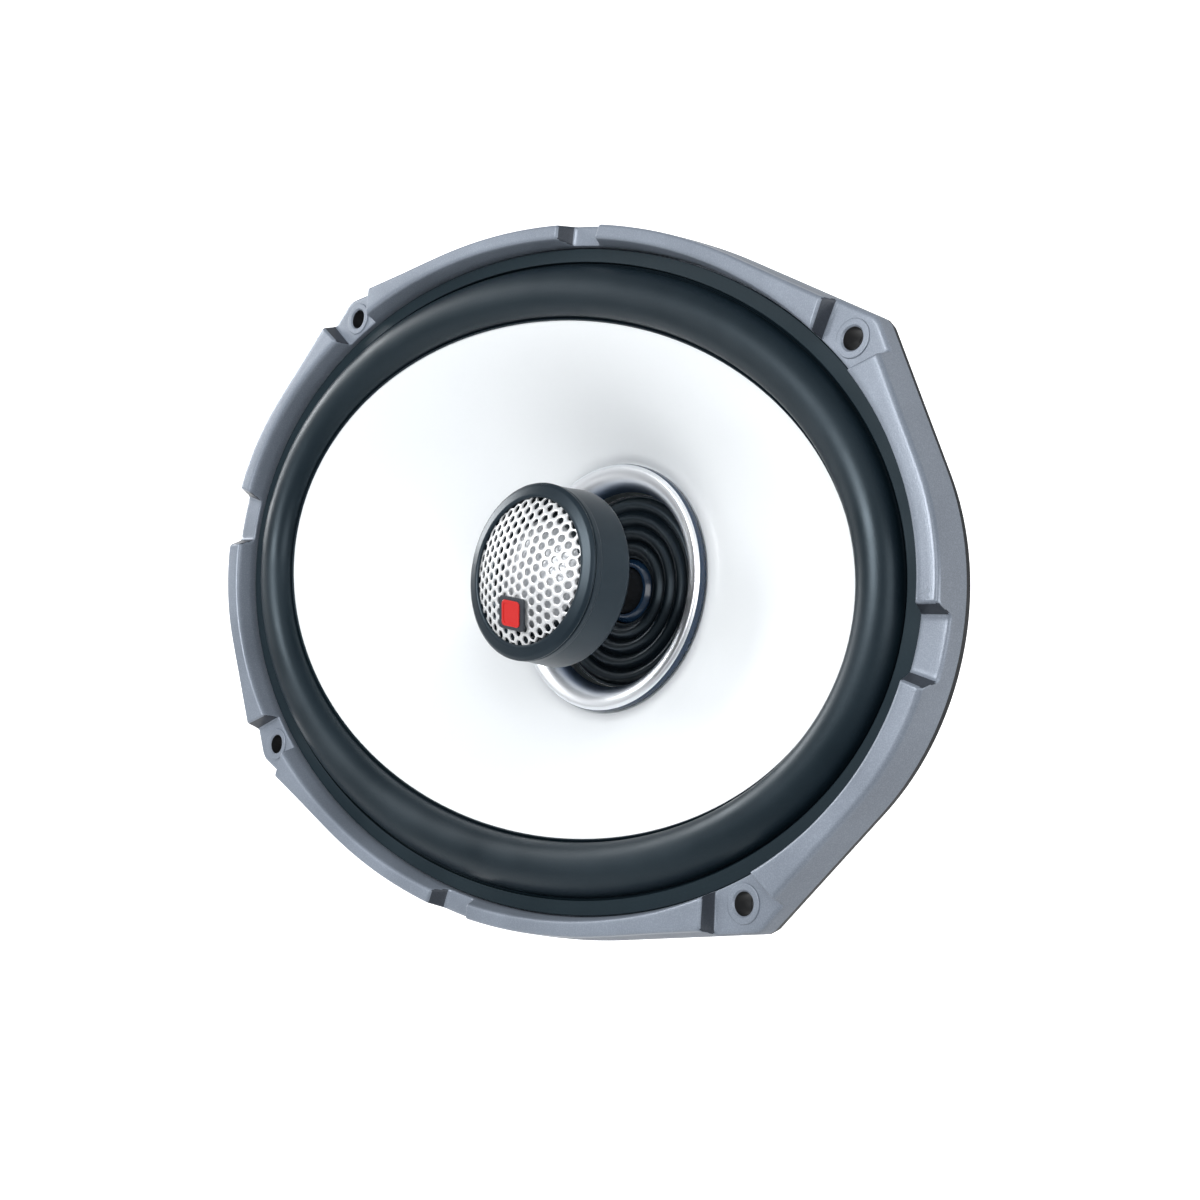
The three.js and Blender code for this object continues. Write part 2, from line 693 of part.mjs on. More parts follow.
function crossoverCapacitor() {
  const can = turned([[0, -5.5], [3.6, -5.5], [4, -5], [4, 5], [3.6, 5.5], [0, 5.5]], SMALL_STEPS);
  const placed = can.rotate([0, 0, 90]).translate([0, BLOCK.back + GAP + 4, -62.5]);
  return piece('crossover_capacitor', placed, BLACK_PLASTIC);
}

// Braided leads from the back of the cone to the terminal tabs.
function tinselLeads() {
  return TABS.map(({ name, x }) => {
    const route = [
      [0.8 * x, 26.3, -29.5], [0.85 * x, 30.2, -34], [0.9 * x, 33, -44],
      [0.95 * x, 30.5, -54], [x, 30.8, -61], [x, 37.5, -66],
    ];
    return piece(`tinsel_lead_${name}`, wire(route, 0.7, 12, 6), COPPER);
  });
}

// ---------------------------------------------------------------- assembly

const speaker = new THREE.Group();
speaker.name = 'coaxial_speaker';

const frameGroup = new THREE.Group();
frameGroup.add(mountingRim(), basket(), surroundGasket(), coneSurround(), spider());

const coneGroup = new THREE.Group();
coneGroup.add(cone(), coneTrimRing(), dustSeal(), coilFormer(), voiceCoil());

const motorGroup = new THREE.Group();
motorGroup.add(topPlate(), ringMagnet(), backPlatePole(), rearLabel(), ...motorRivets());

const postGroup = new THREE.Group();
postGroup.add(tweeterPost(), sealCollar(), postNut(), tweeterCable());

const tweeterGroup = new THREE.Group();
tweeterGroup.add(tweeterCup(), tweeterBezel(), tweeterMesh(), ...badge(), tweeterFacePlate());
tweeterGroup.add(tweeterDome(), tweeterDomeSurround(), tweeterCoil());
tweeterGroup.add(tweeterYoke(), tweeterMagnet(), tweeterPoleDisc());

const terminalGroup = new THREE.Group();
terminalGroup.add(terminalBlock(), ...terminalTabs(), ...terminalRivets());
terminalGroup.add(crossoverCapacitor(), ...tinselLeads());

speaker.add(frameGroup, coneGroup, motorGroup, postGroup, tweeterGroup, terminalGroup);

export default speaker;
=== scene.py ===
"""Visual model of an oval two-way coaxial car speaker, built round its CAD frame."""
import logging
import math
from dataclasses import dataclass, field
from enum import Enum
from typing import Callable, Optional, Sequence

import bmesh
import bpy
import numpy as np
from mathutils import Matrix, Vector


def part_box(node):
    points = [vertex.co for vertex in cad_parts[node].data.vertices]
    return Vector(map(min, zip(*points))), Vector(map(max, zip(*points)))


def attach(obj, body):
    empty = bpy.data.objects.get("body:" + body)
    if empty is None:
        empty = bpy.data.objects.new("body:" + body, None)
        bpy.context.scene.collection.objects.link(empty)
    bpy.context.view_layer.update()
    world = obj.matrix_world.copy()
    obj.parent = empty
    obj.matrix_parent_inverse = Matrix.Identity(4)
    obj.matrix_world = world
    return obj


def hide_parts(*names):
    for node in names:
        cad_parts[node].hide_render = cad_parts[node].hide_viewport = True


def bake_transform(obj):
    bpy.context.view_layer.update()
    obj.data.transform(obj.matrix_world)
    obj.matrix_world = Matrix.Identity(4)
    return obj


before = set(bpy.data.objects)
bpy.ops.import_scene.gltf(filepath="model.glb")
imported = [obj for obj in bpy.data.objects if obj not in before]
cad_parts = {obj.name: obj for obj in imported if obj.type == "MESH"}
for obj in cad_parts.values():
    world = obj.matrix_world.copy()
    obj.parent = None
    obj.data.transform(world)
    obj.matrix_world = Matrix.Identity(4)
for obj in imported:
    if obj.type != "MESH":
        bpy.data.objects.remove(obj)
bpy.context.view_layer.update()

MM = 0.001
QUADRANTS = ((1, 1), (1, -1), (-1, -1), (-1, 1))  # signs of X and Z, clockwise from the top right
FIXED = "frame_body"
MOVING = "cone_body"
DIAPHRAGM = "tweeter_diaphragm"
RING_STEPS = 192  # facets round a large ring
SMALL_STEPS = 64  # facets round a small turned piece

Pair = tuple[float, float]
Triple = tuple[float, float, float]
Nodes = bpy.types.Nodes
Links = bpy.types.NodeLinks
Socket = bpy.types.NodeSocket
log = logging.getLogger("speaker")


# ------------------------------------------------------------------ finishes


class Grain(Enum):
    """The kind of fine surface that a finish has."""

    FLAKE = "metallic paint"
    SPARK = "spark-eroded plastic"
    RUBBER = "moulded rubber"
    POLYMER = "calendered polymer"
    WEAVE = "woven cloth"
    TURNED = "lathe-turned metal"
    GROUND = "ground ceramic"
    BRAID = "braid"
    POLISHED = "polished plating"


@dataclass(frozen=True)
class GrainSetting:
    """How a grain is drawn: texture sizes per metre and the strength of its relief."""

    fine: float
    broad: float
    relief: float
    depth: float
    mottle: float
    stretch: Triple = (1.0, 1.0, 1.0)


# fine and broad scale, relief and its depth, mottle, stretch
GRAINS: dict[Grain, GrainSetting] = {
    Grain.FLAKE: GrainSetting(3600, 45, 0.35, 0.00004, 0.22),
    Grain.SPARK: GrainSetting(3400, 60, 0.30, 0.00005, 0.16),
    Grain.RUBBER: GrainSetting(2200, 55, 0.35, 0.00005, 0.25),
    Grain.POLYMER: GrainSetting(1500, 30, 0.05, 0.00002, 0.015),
    Grain.WEAVE: GrainSetting(1500, 80, 0.55, 0.00012, 0.25),
    Grain.TURNED: GrainSetting(2400, 50, 0.12, 0.00002, 0.08),
    Grain.GROUND: GrainSetting(900, 70, 0.35, 0.00008, 0.25, (1.0, 0.3, 1.0)),
    Grain.BRAID: GrainSetting(1800, 120, 0.70, 0.00012, 0.20),
    Grain.POLISHED: GrainSetting(400, 25, 0.015, 0.00002, 0.03),
}


MADE: dict[str, bpy.types.Material] = {}  # each finish's material, once it's made


@dataclass(frozen=True)
class PaintedReflection:
    """Painted reflection: a dark tint that deepens from one radius about the axis in to a smaller one, in
    millimetres.
    """

    inner: float
    outer: float
    colour: Triple


@dataclass(frozen=True)
class Finish:
    """A paint, plating, plastic, rubber or cloth, and how to make its material."""

    name: str
    colour: Triple
    roughness: float
    grain: Grain
    metallic: float = 0.0
    coat: float = 0.0
    sheen: float = 0.0
    specular: float = 0.5
    tint: Triple = (1.0, 1.0, 1.0)  # of the highlights
    painted_reflection: Optional[PaintedReflection] = None

    def material(self) -> bpy.types.Material:
        """Makes the finish's material, once, for every piece that shares it.

        Returns:
            The material.
        """
        if self.name in MADE:
            return MADE[self.name]
        made = MADE[self.name] = bpy.data.materials.new(self.name)
        made.use_nodes = True
        made.diffuse_color = (*self.colour, 1.0)
        nodes, links = made.node_tree.nodes, made.node_tree.links
        shader = nodes["Principled BSDF"]
        shader.inputs["Metallic"].default_value = self.metallic
        shader.inputs["Coat Weight"].default_value = self.coat
        shader.inputs["Coat Roughness"].default_value = 0.08
        shader.inputs["Sheen Weight"].default_value = self.sheen
        shader.inputs["Sheen Roughness"].default_value = 0.45
        shader.inputs["Specular IOR Level"].default_value = self.specular
        shader.inputs["Specular Tint"].default_value = (*self.tint, 1.0)
        setting = GRAINS[self.grain]
        place = self._place(nodes, links, setting.stretch)
        fine = self._fine(nodes, links, place, setting)
        broad = nodes.new("ShaderNodeTexNoise")
        broad.inputs["Scale"].default_value = setting.broad
        broad.inputs["Detail"].default_value = 5.0
        links.new(place, broad.inputs["Vector"])
        self._paint(nodes, links, shader, fine, broad.outputs["Fac"], setting)
        bump = nodes.new("ShaderNodeBump")
        bump.inputs["Strength"].default_value = setting.relief
        bump.inputs["Distance"].default_value = setting.depth
        links.new(fine, bump.inputs["Height"])
        links.new(bump.outputs["Normal"], shader.inputs["Normal"])
        return made

    @staticmethod
    def _place(nodes: Nodes, links: Links, stretch: Triple) -> Socket:
        """Makes object coordinates, stretched along the axes.

        Args:
            nodes: the material's nodes.
            links: the material's links.
            stretch: the scale along each axis.

        Returns:
            The coordinates' socket.
        """
        coords = nodes.new("ShaderNodeTexCoord")
        mapping = nodes.new("ShaderNodeMapping")
        mapping.inputs["Scale"].default_value = stretch
        links.new(coords.outputs["Object"], mapping.inputs["Vector"])
        return mapping.outputs["Vector"]

    def _fine(self, nodes: Nodes, links: Links, place: Socket, setting: GrainSetting) -> Socket:
        """Makes the fine texture of the grain.

        Args:
            nodes: the material's nodes.
            links: the material's links.
            place: the socket that gives the position.
            setting: the grain's sizes.

        Returns:
            The socket of the texture's height, from 0 to 1.
        """
        if self.grain is Grain.FLAKE:
            cells = nodes.new("ShaderNodeTexVoronoi")
            cells.inputs["Scale"].default_value = setting.fine
            links.new(place, cells.inputs["Vector"])
            return cells.outputs["Distance"]
        if self.grain in (Grain.WEAVE, Grain.BRAID):
            return self._crossed_bands(nodes, links, place, setting.fine)
        if self.grain is Grain.TURNED:
            rings = nodes.new("ShaderNodeTexWave")
            rings.wave_type = "RINGS"
            rings.rings_direction = "Y"
            rings.inputs["Scale"].default_value = setting.fine / 4
            rings.inputs["Distortion"].default_value = 1.5
            rings.inputs["Detail"].default_value = 3.0
            links.new(place, rings.inputs["Vector"])
            return rings.outputs["Fac"]
        noise = nodes.new("ShaderNodeTexNoise")
        noise.inputs["Scale"].default_value = setting.fine
        noise.inputs["Detail"].default_value = 3.0
        links.new(place, noise.inputs["Vector"])
        return noise.outputs["Fac"]

    @staticmethod
    def _crossed_bands(nodes: Nodes, links: Links, place: Socket, scale: float) -> Socket:
        """Makes two sets of bands at right angles, as warp and weft.

        Args:
            nodes: the material's nodes.
            links: the material's links.
            place: the socket that gives the position.
            scale: the size of the weave, per metre.

        Returns:
            The socket of the higher of the two.
        """
        bands = []
        for direction in ("X", "Z"):
            wave = nodes.new("ShaderNodeTexWave")
            wave.bands_direction = direction
            wave.inputs["Scale"].default_value = scale / 6
            wave.inputs["Distortion"].default_value = 0.6
            links.new(place, wave.inputs["Vector"])
            bands.append(wave.outputs["Fac"])
        both = nodes.new("ShaderNodeMath")
        both.operation = "MAXIMUM"
        links.new(bands[0], both.inputs[0])
        links.new(bands[1], both.inputs[1])
        return both.outputs[0]

    @staticmethod
    def _mix_painted_reflection(nodes: Nodes, links: Links, colour: Socket, painted_reflection: PaintedReflection) -> Socket:
        """Mixes a painted reflection, a dark tint, into the colour towards the axis.

        Args:
            nodes: the material's nodes.
            links: the material's links.
            colour: the untinted colour's socket.
            painted_reflection: the tint of the painted reflection and where it lies.

        Returns:
            The mixed colour's socket.
        """
        coords = nodes.new("ShaderNodeTexCoord")
        flat = nodes.new("ShaderNodeVectorMath")
        flat.operation = "MULTIPLY"
        flat.inputs[1].default_value = (1, 0, 1)
        away = nodes.new("ShaderNodeVectorMath")
        away.operation = "LENGTH"
        share = nodes.new("ShaderNodeMapRange")
        share.interpolation_type = "SMOOTHSTEP"
        share.inputs["From Min"].default_value = painted_reflection.inner * MM
        share.inputs["From Max"].default_value = painted_reflection.outer * MM
        mixed = nodes.new("ShaderNodeMix")
        mixed.data_type = "RGBA"
        mixed.inputs["A"].default_value = (*painted_reflection.colour, 1.0)
        links.new(coords.outputs["Object"], flat.inputs[0])
        links.new(flat.outputs["Vector"], away.inputs[0])
        links.new(away.outputs["Value"], share.inputs["Value"])
        links.new(share.outputs["Result"], mixed.inputs["Factor"])
        links.new(colour, mixed.inputs["B"])
        return mixed.outputs["Result"]

    def _paint(self, nodes: Nodes, links: Links, shader: bpy.types.Node, fine: Socket,
               broad: Socket, setting: GrainSetting) -> None:
        """Varies colour and roughness with the fine and the broad texture.

        Args:
            nodes: the material's nodes.
            links: the material's links.
            shader: the surface shader.
            fine: the fine texture's socket.
            broad: the broad texture's socket.
            setting: the grain's strengths.
        """
        mottle = setting.mottle
        blended = nodes.new("ShaderNodeMix")
        blended.data_type = "FLOAT"
        blended.inputs["Factor"].default_value = 0.45
        links.new(broad, blended.inputs[2])
        links.new(fine, blended.inputs[3])
        ramp = nodes.new("ShaderNodeValToRGB")
        ramp.color_ramp.elements[0].position = 0.2
        ramp.color_ramp.elements[1].position = 0.8
        low = [c * (1 - mottle) for c in self.colour]
        high = [min(1.0, c * (1 + mottle)) for c in self.colour]
        ramp.color_ramp.elements[0].color = (*low, 1.0)
        ramp.color_ramp.elements[1].color = (*high, 1.0)
        links.new(blended.outputs[0], ramp.inputs["Fac"])
        coloured = ramp.outputs["Color"]
        # painted reflection: the colour darkens towards the axis
        if self.painted_reflection:
            coloured = self._mix_painted_reflection(nodes, links, coloured, self.painted_reflection)
        links.new(coloured, shader.inputs["Base Color"])
        rough = nodes.new("ShaderNodeMapRange")
        rough.inputs["From Min"].default_value = 0.25
        rough.inputs["From Max"].default_value = 0.75
        rough.inputs["To Min"].default_value = self.roughness * (1 - mottle)
        rough.inputs["To Max"].default_value = min(1.0, self.roughness * (1 + mottle))
        links.new(broad, rough.inputs["Value"])
        links.new(rough.outputs["Result"], shader.inputs["Roughness"])


COOL = (0.72, 0.88, 1.0)  # highlight tint of the dark rubbers and plastics

RIM_PAINT = Finish("rim_paint", (0.228, 0.260, 0.312), 0.34, Grain.FLAKE, metallic=0.22, specular=0.4)
EDGE_PAINT = Finish("edge_paint", (0.240, 0.265, 0.306), 0.55, Grain.FLAKE, specular=0.12)
# painted shade: a dark copy of the rim paint for the lands' end faces, which lie in shade
PAINTED_SHADE_END_FACES = Finish("painted_shade_end_faces", (0.052, 0.060, 0.074), 0.4,
                      Grain.FLAKE, metallic=0.2, specular=0.3)
# black steel of the basket and the post, also put on the screw holes' walls as painted shade
BLACK_STEEL_AND_BORE_SHADE = Finish("black_steel", (0.014, 0.015, 0.017), 0.42, Grain.SPARK)
GASKET = Finish("gasket_rubber", (0.011, 0.020, 0.026), 0.5, Grain.RUBBER, specular=0.2, tint=COOL)
SURROUND = Finish("surround_rubber", (0.004, 0.010, 0.015), 0.4, Grain.RUBBER, specular=0.42, tint=COOL)
WHITE_CONE = Finish("white_cone", (0.87, 0.895, 0.91), 0.36, Grain.POLYMER, coat=0.1)
# painted reflection: the plating darkens to navy towards its inner lip, standing for the dark seal mirrored in it
CHROME = Finish("chrome_trim", (0.92, 0.94, 0.97), 0.34, Grain.POLISHED, metallic=1.0,
                painted_reflection=PaintedReflection(24.0, 27.3, (0.10, 0.15, 0.24)))
SEAL_CLOTH = Finish("black_cloth", (0.002, 0.005, 0.008), 0.34, Grain.RUBBER, specular=0.5, tint=COOL)
AMBER_CLOTH = Finish("amber_cloth", (0.42, 0.23, 0.065), 0.75, Grain.WEAVE, sheen=0.2)
FORMER_FILM = Finish("former_film", (0.30, 0.13, 0.03), 0.3, Grain.POLYMER, coat=0.3)
COPPER = Finish("copper_wire", (0.62, 0.25, 0.09), 0.3, Grain.TURNED, metallic=0.95)
ZINC = Finish("zinc_steel", (0.60, 0.61, 0.62), 0.28, Grain.TURNED, metallic=1.0)
FERRITE = Finish("ferrite", (0.035, 0.035, 0.038), 0.6, Grain.GROUND)
LABEL = Finish("silver_label", (0.62, 0.64, 0.66), 0.4, Grain.SPARK, metallic=0.4)
# gloss black of the collar, also put on the trim ring's outer flank as painted shade
GLOSS_BLACK_AND_FLANK_SHADE = Finish("gloss_black", (0.008, 0.030, 0.070), 0.24, Grain.POLISHED, coat=0.4)
SHEATH = Finish("cable_sheath", (0.015, 0.015, 0.017), 0.5, Grain.RUBBER)
PLASTIC = Finish("black_plastic", (0.009, 0.016, 0.023), 0.31, Grain.SPARK, specular=0.42, tint=COOL)
MESH_PAINT = Finish("silver_mesh", (0.74, 0.75, 0.76), 0.34, Grain.FLAKE, metallic=0.3)
BADGE_DARK = Finish("badge_dark", (0.030, 0.036, 0.046), 0.3, Grain.SPARK, coat=0.3)
RED_ENAMEL = Finish("red_inlay", (0.62, 0.016, 0.014), 0.3, Grain.POLYMER, coat=0.2, specular=0.4)
DOME_FILM = Finish("silver_dome", (0.72, 0.74, 0.77), 0.3, Grain.POLISHED, metallic=0.4)
# tin plating of the tabs, also put on the trim ring's inner lip as a painted highlight
TIN_AND_LIP_HIGHLIGHT = Finish("tin_plate", (0.66, 0.66, 0.63), 0.3, Grain.POLISHED, metallic=1.0)
SLEEVE = Finish("capacitor_sleeve", (0.02, 0.035, 0.09), 0.35, Grain.POLYMER, coat=0.2)
BRAID = Finish("braided_copper", (0.66, 0.33, 0.15), 0.4, Grain.BRAID, metallic=0.85)


# ------------------------------------------------------------------ mesh tools


@dataclass(frozen=True)
class Extent:
    """The room that a CAD node takes up, in millimetres."""

    low: Vector
    high: Vector

    @classmethod
    def of(cls, node: str) -> "Extent":
        """Returns the extent of the named node."""
        low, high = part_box(node)
        return cls(low / MM, high / MM)

    @property
    def half(self) -> Pair:
        """Half width and half height of a piece centred on the axis."""
        return self.high.x, self.high.z

    @property
    def radius(self) -> float:
        """Radius of a round piece centred on the axis."""
        return self.high.x

    @property
    def front(self) -> float:
        """Depth of the front."""
        return self.low.y

    @property
    def back(self) -> float:
        """Depth of the back."""
        return self.high.y

    @property
    def middle(self) -> Vector:
        """Centre of the room."""
        return (self.low + self.high) / 2


class Shape:
    """Makes meshes from profiles, outlines and routes given in millimetres."""

    @staticmethod
    def finish_mesh(name: str, work: bmesh.types.BMesh, sharp: float = 32.0) -> bpy.types.Object:
        """Turns a bmesh into a smooth-shaded object.

        Args:
            name: the object's name.
            work: the bmesh, which is freed.
            sharp: edges that turn by more than this, in degrees, stay crisp.

        Returns:
            The new object, linked to the scene.
        """
        bmesh.ops.recalc_face_normals(work, faces=work.faces)
        data = bpy.data.meshes.new(name)
        work.to_mesh(data)
        work.free()
        data.polygons.foreach_set("use_smooth", [True] * len(data.polygons))
        data.set_sharp_from_angle(angle=math.radians(sharp))
        made = bpy.data.objects.new(name, data)
        bpy.context.scene.collection.objects.link(made)
        return made

    @classmethod
    def loft(cls, name: str, sections: Sequence[Sequence[Triple]], closed: bool = True,
             round_trip: bool = True, sharp: float = 32.0) -> bpy.types.Object:
        """Joins a row of sections, each a list of points, with quads.

        Args:
            name: the object's name.
            sections: the sections, all with the same number of points.
            closed: whether each section closes on itself.
            round_trip: whether the last section joins the first.
            sharp: edges that turn by more than this, in degrees, stay crisp.

        Returns:
            The new object.
        """
        work = bmesh.new()
        rows = [[work.verts.new(Vector(p) * MM) for p in section] for section in sections]
        count = len(rows)
        width = len(rows[0])
        for i in range(count if round_trip else count - 1):
            here, there = rows[i], rows[(i + 1) % count]
            for j in range(width if closed else width - 1):
                k = (j + 1) % width
                work.faces.new((here[j], here[k], there[k], there[j]))
        if closed and not round_trip:
            work.faces.new(rows[0])
            work.faces.new(list(reversed(rows[-1])))
        if not closed:
            bmesh.ops.remove_doubles(work, verts=work.verts, dist=1e-7)
        return cls.finish_mesh(name, work, sharp)

    @staticmethod
    def rounded(profile: Sequence[Sequence[float]], radius: float, steps: int = 4,
                closed: bool = True) -> list[tuple[float, ...]]:
        """Rounds the corners of a profile.

        Args:
            profile: the corner points.
            radius: how far from each corner its round starts.
            steps: facets in each round.
            closed: whether the profile closes on itself.

        Returns:
            The rounded profile's points.
        """
        points = [np.array(p, float) for p in profile]
        made: list[tuple[float, ...]] = []
        for i, corner in enumerate(points):
            if not closed and i in (0, len(points) - 1):
                made.append(tuple(corner))
                continue
            before, after = points[i - 1] - corner, points[(i + 1) % len(points)] - corner
            reach = min(radius, 0.45 * np.linalg.norm(before), 0.45 * np.linalg.norm(after))
            start = corner + before / np.linalg.norm(before) * reach
            end = corner + after / np.linalg.norm(after) * reach
            for step in range(steps + 1):
                t = step / steps
                made.append(tuple((1 - t) ** 2 * start + 2 * t * (1 - t) * corner + t * t * end))
        return made

    @classmethod
    def oval(cls, name: str, profile: Sequence[Triple], steps: int = RING_STEPS,
             closed: bool = True, sharp: float = 32.0) -> bpy.types.Object:
        """Sweeps a profile round the axis.

        Args:
            name: the object's name.
            profile: points of half width, half height and depth.
            steps: facets round the sweep.
            closed: whether the profile closes on itself; if not, it ends on the axis.
            sharp: edges that turn by more than this, in degrees, stay crisp.

        Returns:
            The new object.
        """
        turns = [2 * math.pi * i / steps for i in range(steps)]
        sections = [[(a * math.cos(t), y, b * math.sin(t)) for a, b, y in profile] for t in turns]
        return cls.loft(name, sections, closed, True, sharp)

    @classmethod
    def turned(cls, name: str, profile: Sequence[Pair], radius: float = 0.25,
               steps: int = RING_STEPS, closed: bool = True) -> bpy.types.Object:
        """Turns a rounded profile of (radius, depth) points about the axis.

        Args:
            name: the object's name.
            profile: points of radius and depth.
            radius: size of the round on each corner.
            steps: facets round the piece.
            closed: whether the profile closes on itself; if not, it ends on the axis.

        Returns:
            The new object.
        """
        soft = cls.rounded(profile, radius, closed=closed) if radius > 0 else list(profile)
        return cls.oval(name, [(r, r, y) for r, y in soft], steps, closed)

    @classmethod
    def prism(cls, name: str, outline: Sequence[Pair], front: float, back: float,
              bevel: float = 0.2) -> bpy.types.Object:
        """A flat outline in X and Z made thick, with bevelled edges.

        Args:
            name: the object's name.
            outline: corner points.
            front: depth of its front face.
            back: depth of its back face.
            bevel: size of the bevel.

        Returns:
            The new object.
        """
        work = bmesh.new()
        face = work.faces.new([work.verts.new((x * MM, front * MM, z * MM)) for x, z in outline])
        grown = bmesh.ops.extrude_face_region(work, geom=[face])
        moved = [v for v in grown["geom"] if isinstance(v, bmesh.types.BMVert)]
        bmesh.ops.translate(work, verts=moved, vec=(0, (back - front) * MM, 0))
        bmesh.ops.recalc_face_normals(work, faces=work.faces)
        if bevel > 0:
            bmesh.ops.bevel(work, geom=list(work.edges), offset=bevel * MM, segments=3,
                            profile=0.5, affect="EDGES", clamp_overlap=True)
        return cls.finish_mesh(name, work)

    @staticmethod
    def smooth_route(points: Sequence[Triple], steps: int) -> list[Vector]:
        """Evenly spaced points on a smooth curve through the given ones.

        Args:
            points: the points that the route passes through.
            steps: how many stretches to cut it into.

        Returns:
            The points along the route.
        """
        knots = [Vector(p) for p in points]
        knots = [2 * knots[0] - knots[1], *knots, 2 * knots[-1] - knots[-2]]
        dense: list[Vector] = []
        for i in range(1, len(knots) - 2):
            p0, p1, p2, p3 = knots[i - 1:i + 3]
            for k in range(24):
                t = k / 24
                dense.append(0.5 * (2 * p1 + (p2 - p0) * t + (2 * p0 - 5 * p1 + 4 * p2 - p3) * t * t
                                    + (3 * p1 - p0 - 3 * p2 + p3) * t ** 3))
        dense.append(knots[-2])
        reach = np.cumsum([0.0] + [(b - a).length for a, b in zip(dense, dense[1:])])
        even = []
        for want in np.linspace(0, reach[-1], steps + 1):
            i = min(int(np.searchsorted(reach, want, side="right")) - 1, len(dense) - 2)
            span = reach[i + 1] - reach[i]
            even.append(dense[i].lerp(dense[i + 1], float((want - reach[i]) / span)))
        return even

    @classmethod
    def strand(cls, name: str, points: Sequence[Triple], section: Callable[[float, float], float],
               steps: int, sides: int = 16) -> bpy.types.Object:
        """A wire or braid along a smooth route.

        Args:
            name: the object's name.
            points: the points that the route passes through.
            section: gives the radius for an angle round the wire and a distance along it.
            steps: how many stretches it has.
            sides: how many points it has round its section.

        Returns:
            The new object.
        """
        route = cls.smooth_route(points, steps)
        side = Vector((1, 0, 0))
        sections = []
        gone = 0.0
        for i, place in enumerate(route):
            along = (route[min(i + 1, steps)] - route[max(i - 1, 0)]).normalized()
            side = (side - along * side.dot(along)).normalized()
            up = along.cross(side)
            gone += (place - route[i - 1]).length if i else 0.0
            ring = []
            for j in range(sides):
                turn = 2 * math.pi * j / sides
                reach = section(turn, gone)
                ring.append(tuple(place + (side * math.cos(turn) + up * math.sin(turn)) * reach))
            sections.append(ring)
        return cls.loft(name, sections, True, False, 60)

    @staticmethod
    def carve(target: bpy.types.Object, tool: bpy.types.Object, join: bool = False) -> None:
        """Cuts a tool out of a piece, or joins it on, and removes the tool.

        Args:
            target: the piece.
            tool: the solid to cut with or to add.
            join: whether to add the tool.
        """
        step = target.modifiers.new("carve", "BOOLEAN")
        step.object = tool
        step.operation = "UNION" if join else "DIFFERENCE"
        step.solver = "EXACT"
        graph = bpy.context.evaluated_depsgraph_get()
        graph.update()
        carved = bpy.data.meshes.new_from_object(target.evaluated_get(graph))
        target.modifiers.clear()
        target.data = carved
        carved.set_sharp_from_angle(angle=math.radians(32))
        bpy.data.objects.remove(tool)

    @staticmethod
    def shift(piece: bpy.types.Object, x: float = 0.0, y: float = 0.0, z: float = 0.0,
              turn: Optional[Matrix] = None) -> bpy.types.Object:
        """Turns a mesh about the origin and moves it. Returns the piece."""
        piece.data.transform(Matrix.Translation(Vector((x, y, z)) * MM) @ (turn or Matrix()))
        return piece


def shade(piece: bpy.types.Object, finish: Finish) -> None:
    """Gives a piece one finish."""
    piece.data.materials.clear()
    piece.data.materials.append(finish.material())


def shade_part(piece: bpy.types.Object, finish: Finish,
               chosen: Callable[[bpy.types.MeshPolygon], bool]) -> None:
    """Gives the chosen faces of a piece a second finish.

    Args:
        piece: the piece, which has its first finish.
        finish: the finish of the chosen faces.
        chosen: tells whether a face is one of them.
    """
    piece.data.materials.append(finish.material())
    last = len(piece.data.materials) - 1
    for face in piece.data.polygons:
        if chosen(face):
            face.material_index = last


def weigh_normals(piece: bpy.types.Object) -> None:
    """Keeps flat faces flat where they meet small rounds."""
    step = piece.modifiers.new("normals", "WEIGHTED_NORMAL")
    step.keep_sharp = True


def install(piece: bpy.types.Object, finish: Finish, body: str, *nodes: str) -> bpy.types.Object:
    """Finishes a rigid piece and puts it on its body.

    Args:
        piece: the piece.
        finish: its finish, whose name the material takes.
        body: the body that it moves with.
        nodes: the CAD nodes that it stands for.

    Returns:
        The piece.
    """
    shade(piece, finish)
    weigh_normals(piece)
    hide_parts(*nodes)
    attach(piece, body)
    log.info("%s: %d faces on %s", piece.name, len(piece.data.polygons), body)
    return piece


def install_flexible(piece: bpy.types.Object, finish: Finish, bodies: tuple[str, str], node: str) -> bpy.types.Object:
    """Finishes a flexible piece that spans two bodies and bakes its place; nothing here lets it bend.

    Args:
        piece: the piece, whose points come section by section.
        finish: its finish.
        bodies: the body at share 0 and the body at share 1.
        node: the CAD node that it stands for.

    Returns:
        The piece.
    """
    shade(piece, finish)
    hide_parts(node)
    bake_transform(piece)
    log.info("%s: %d faces between %s and %s", piece.name, len(piece.data.polygons), *bodies)
    return piece


# ------------------------------------------------------------------ mounting rim


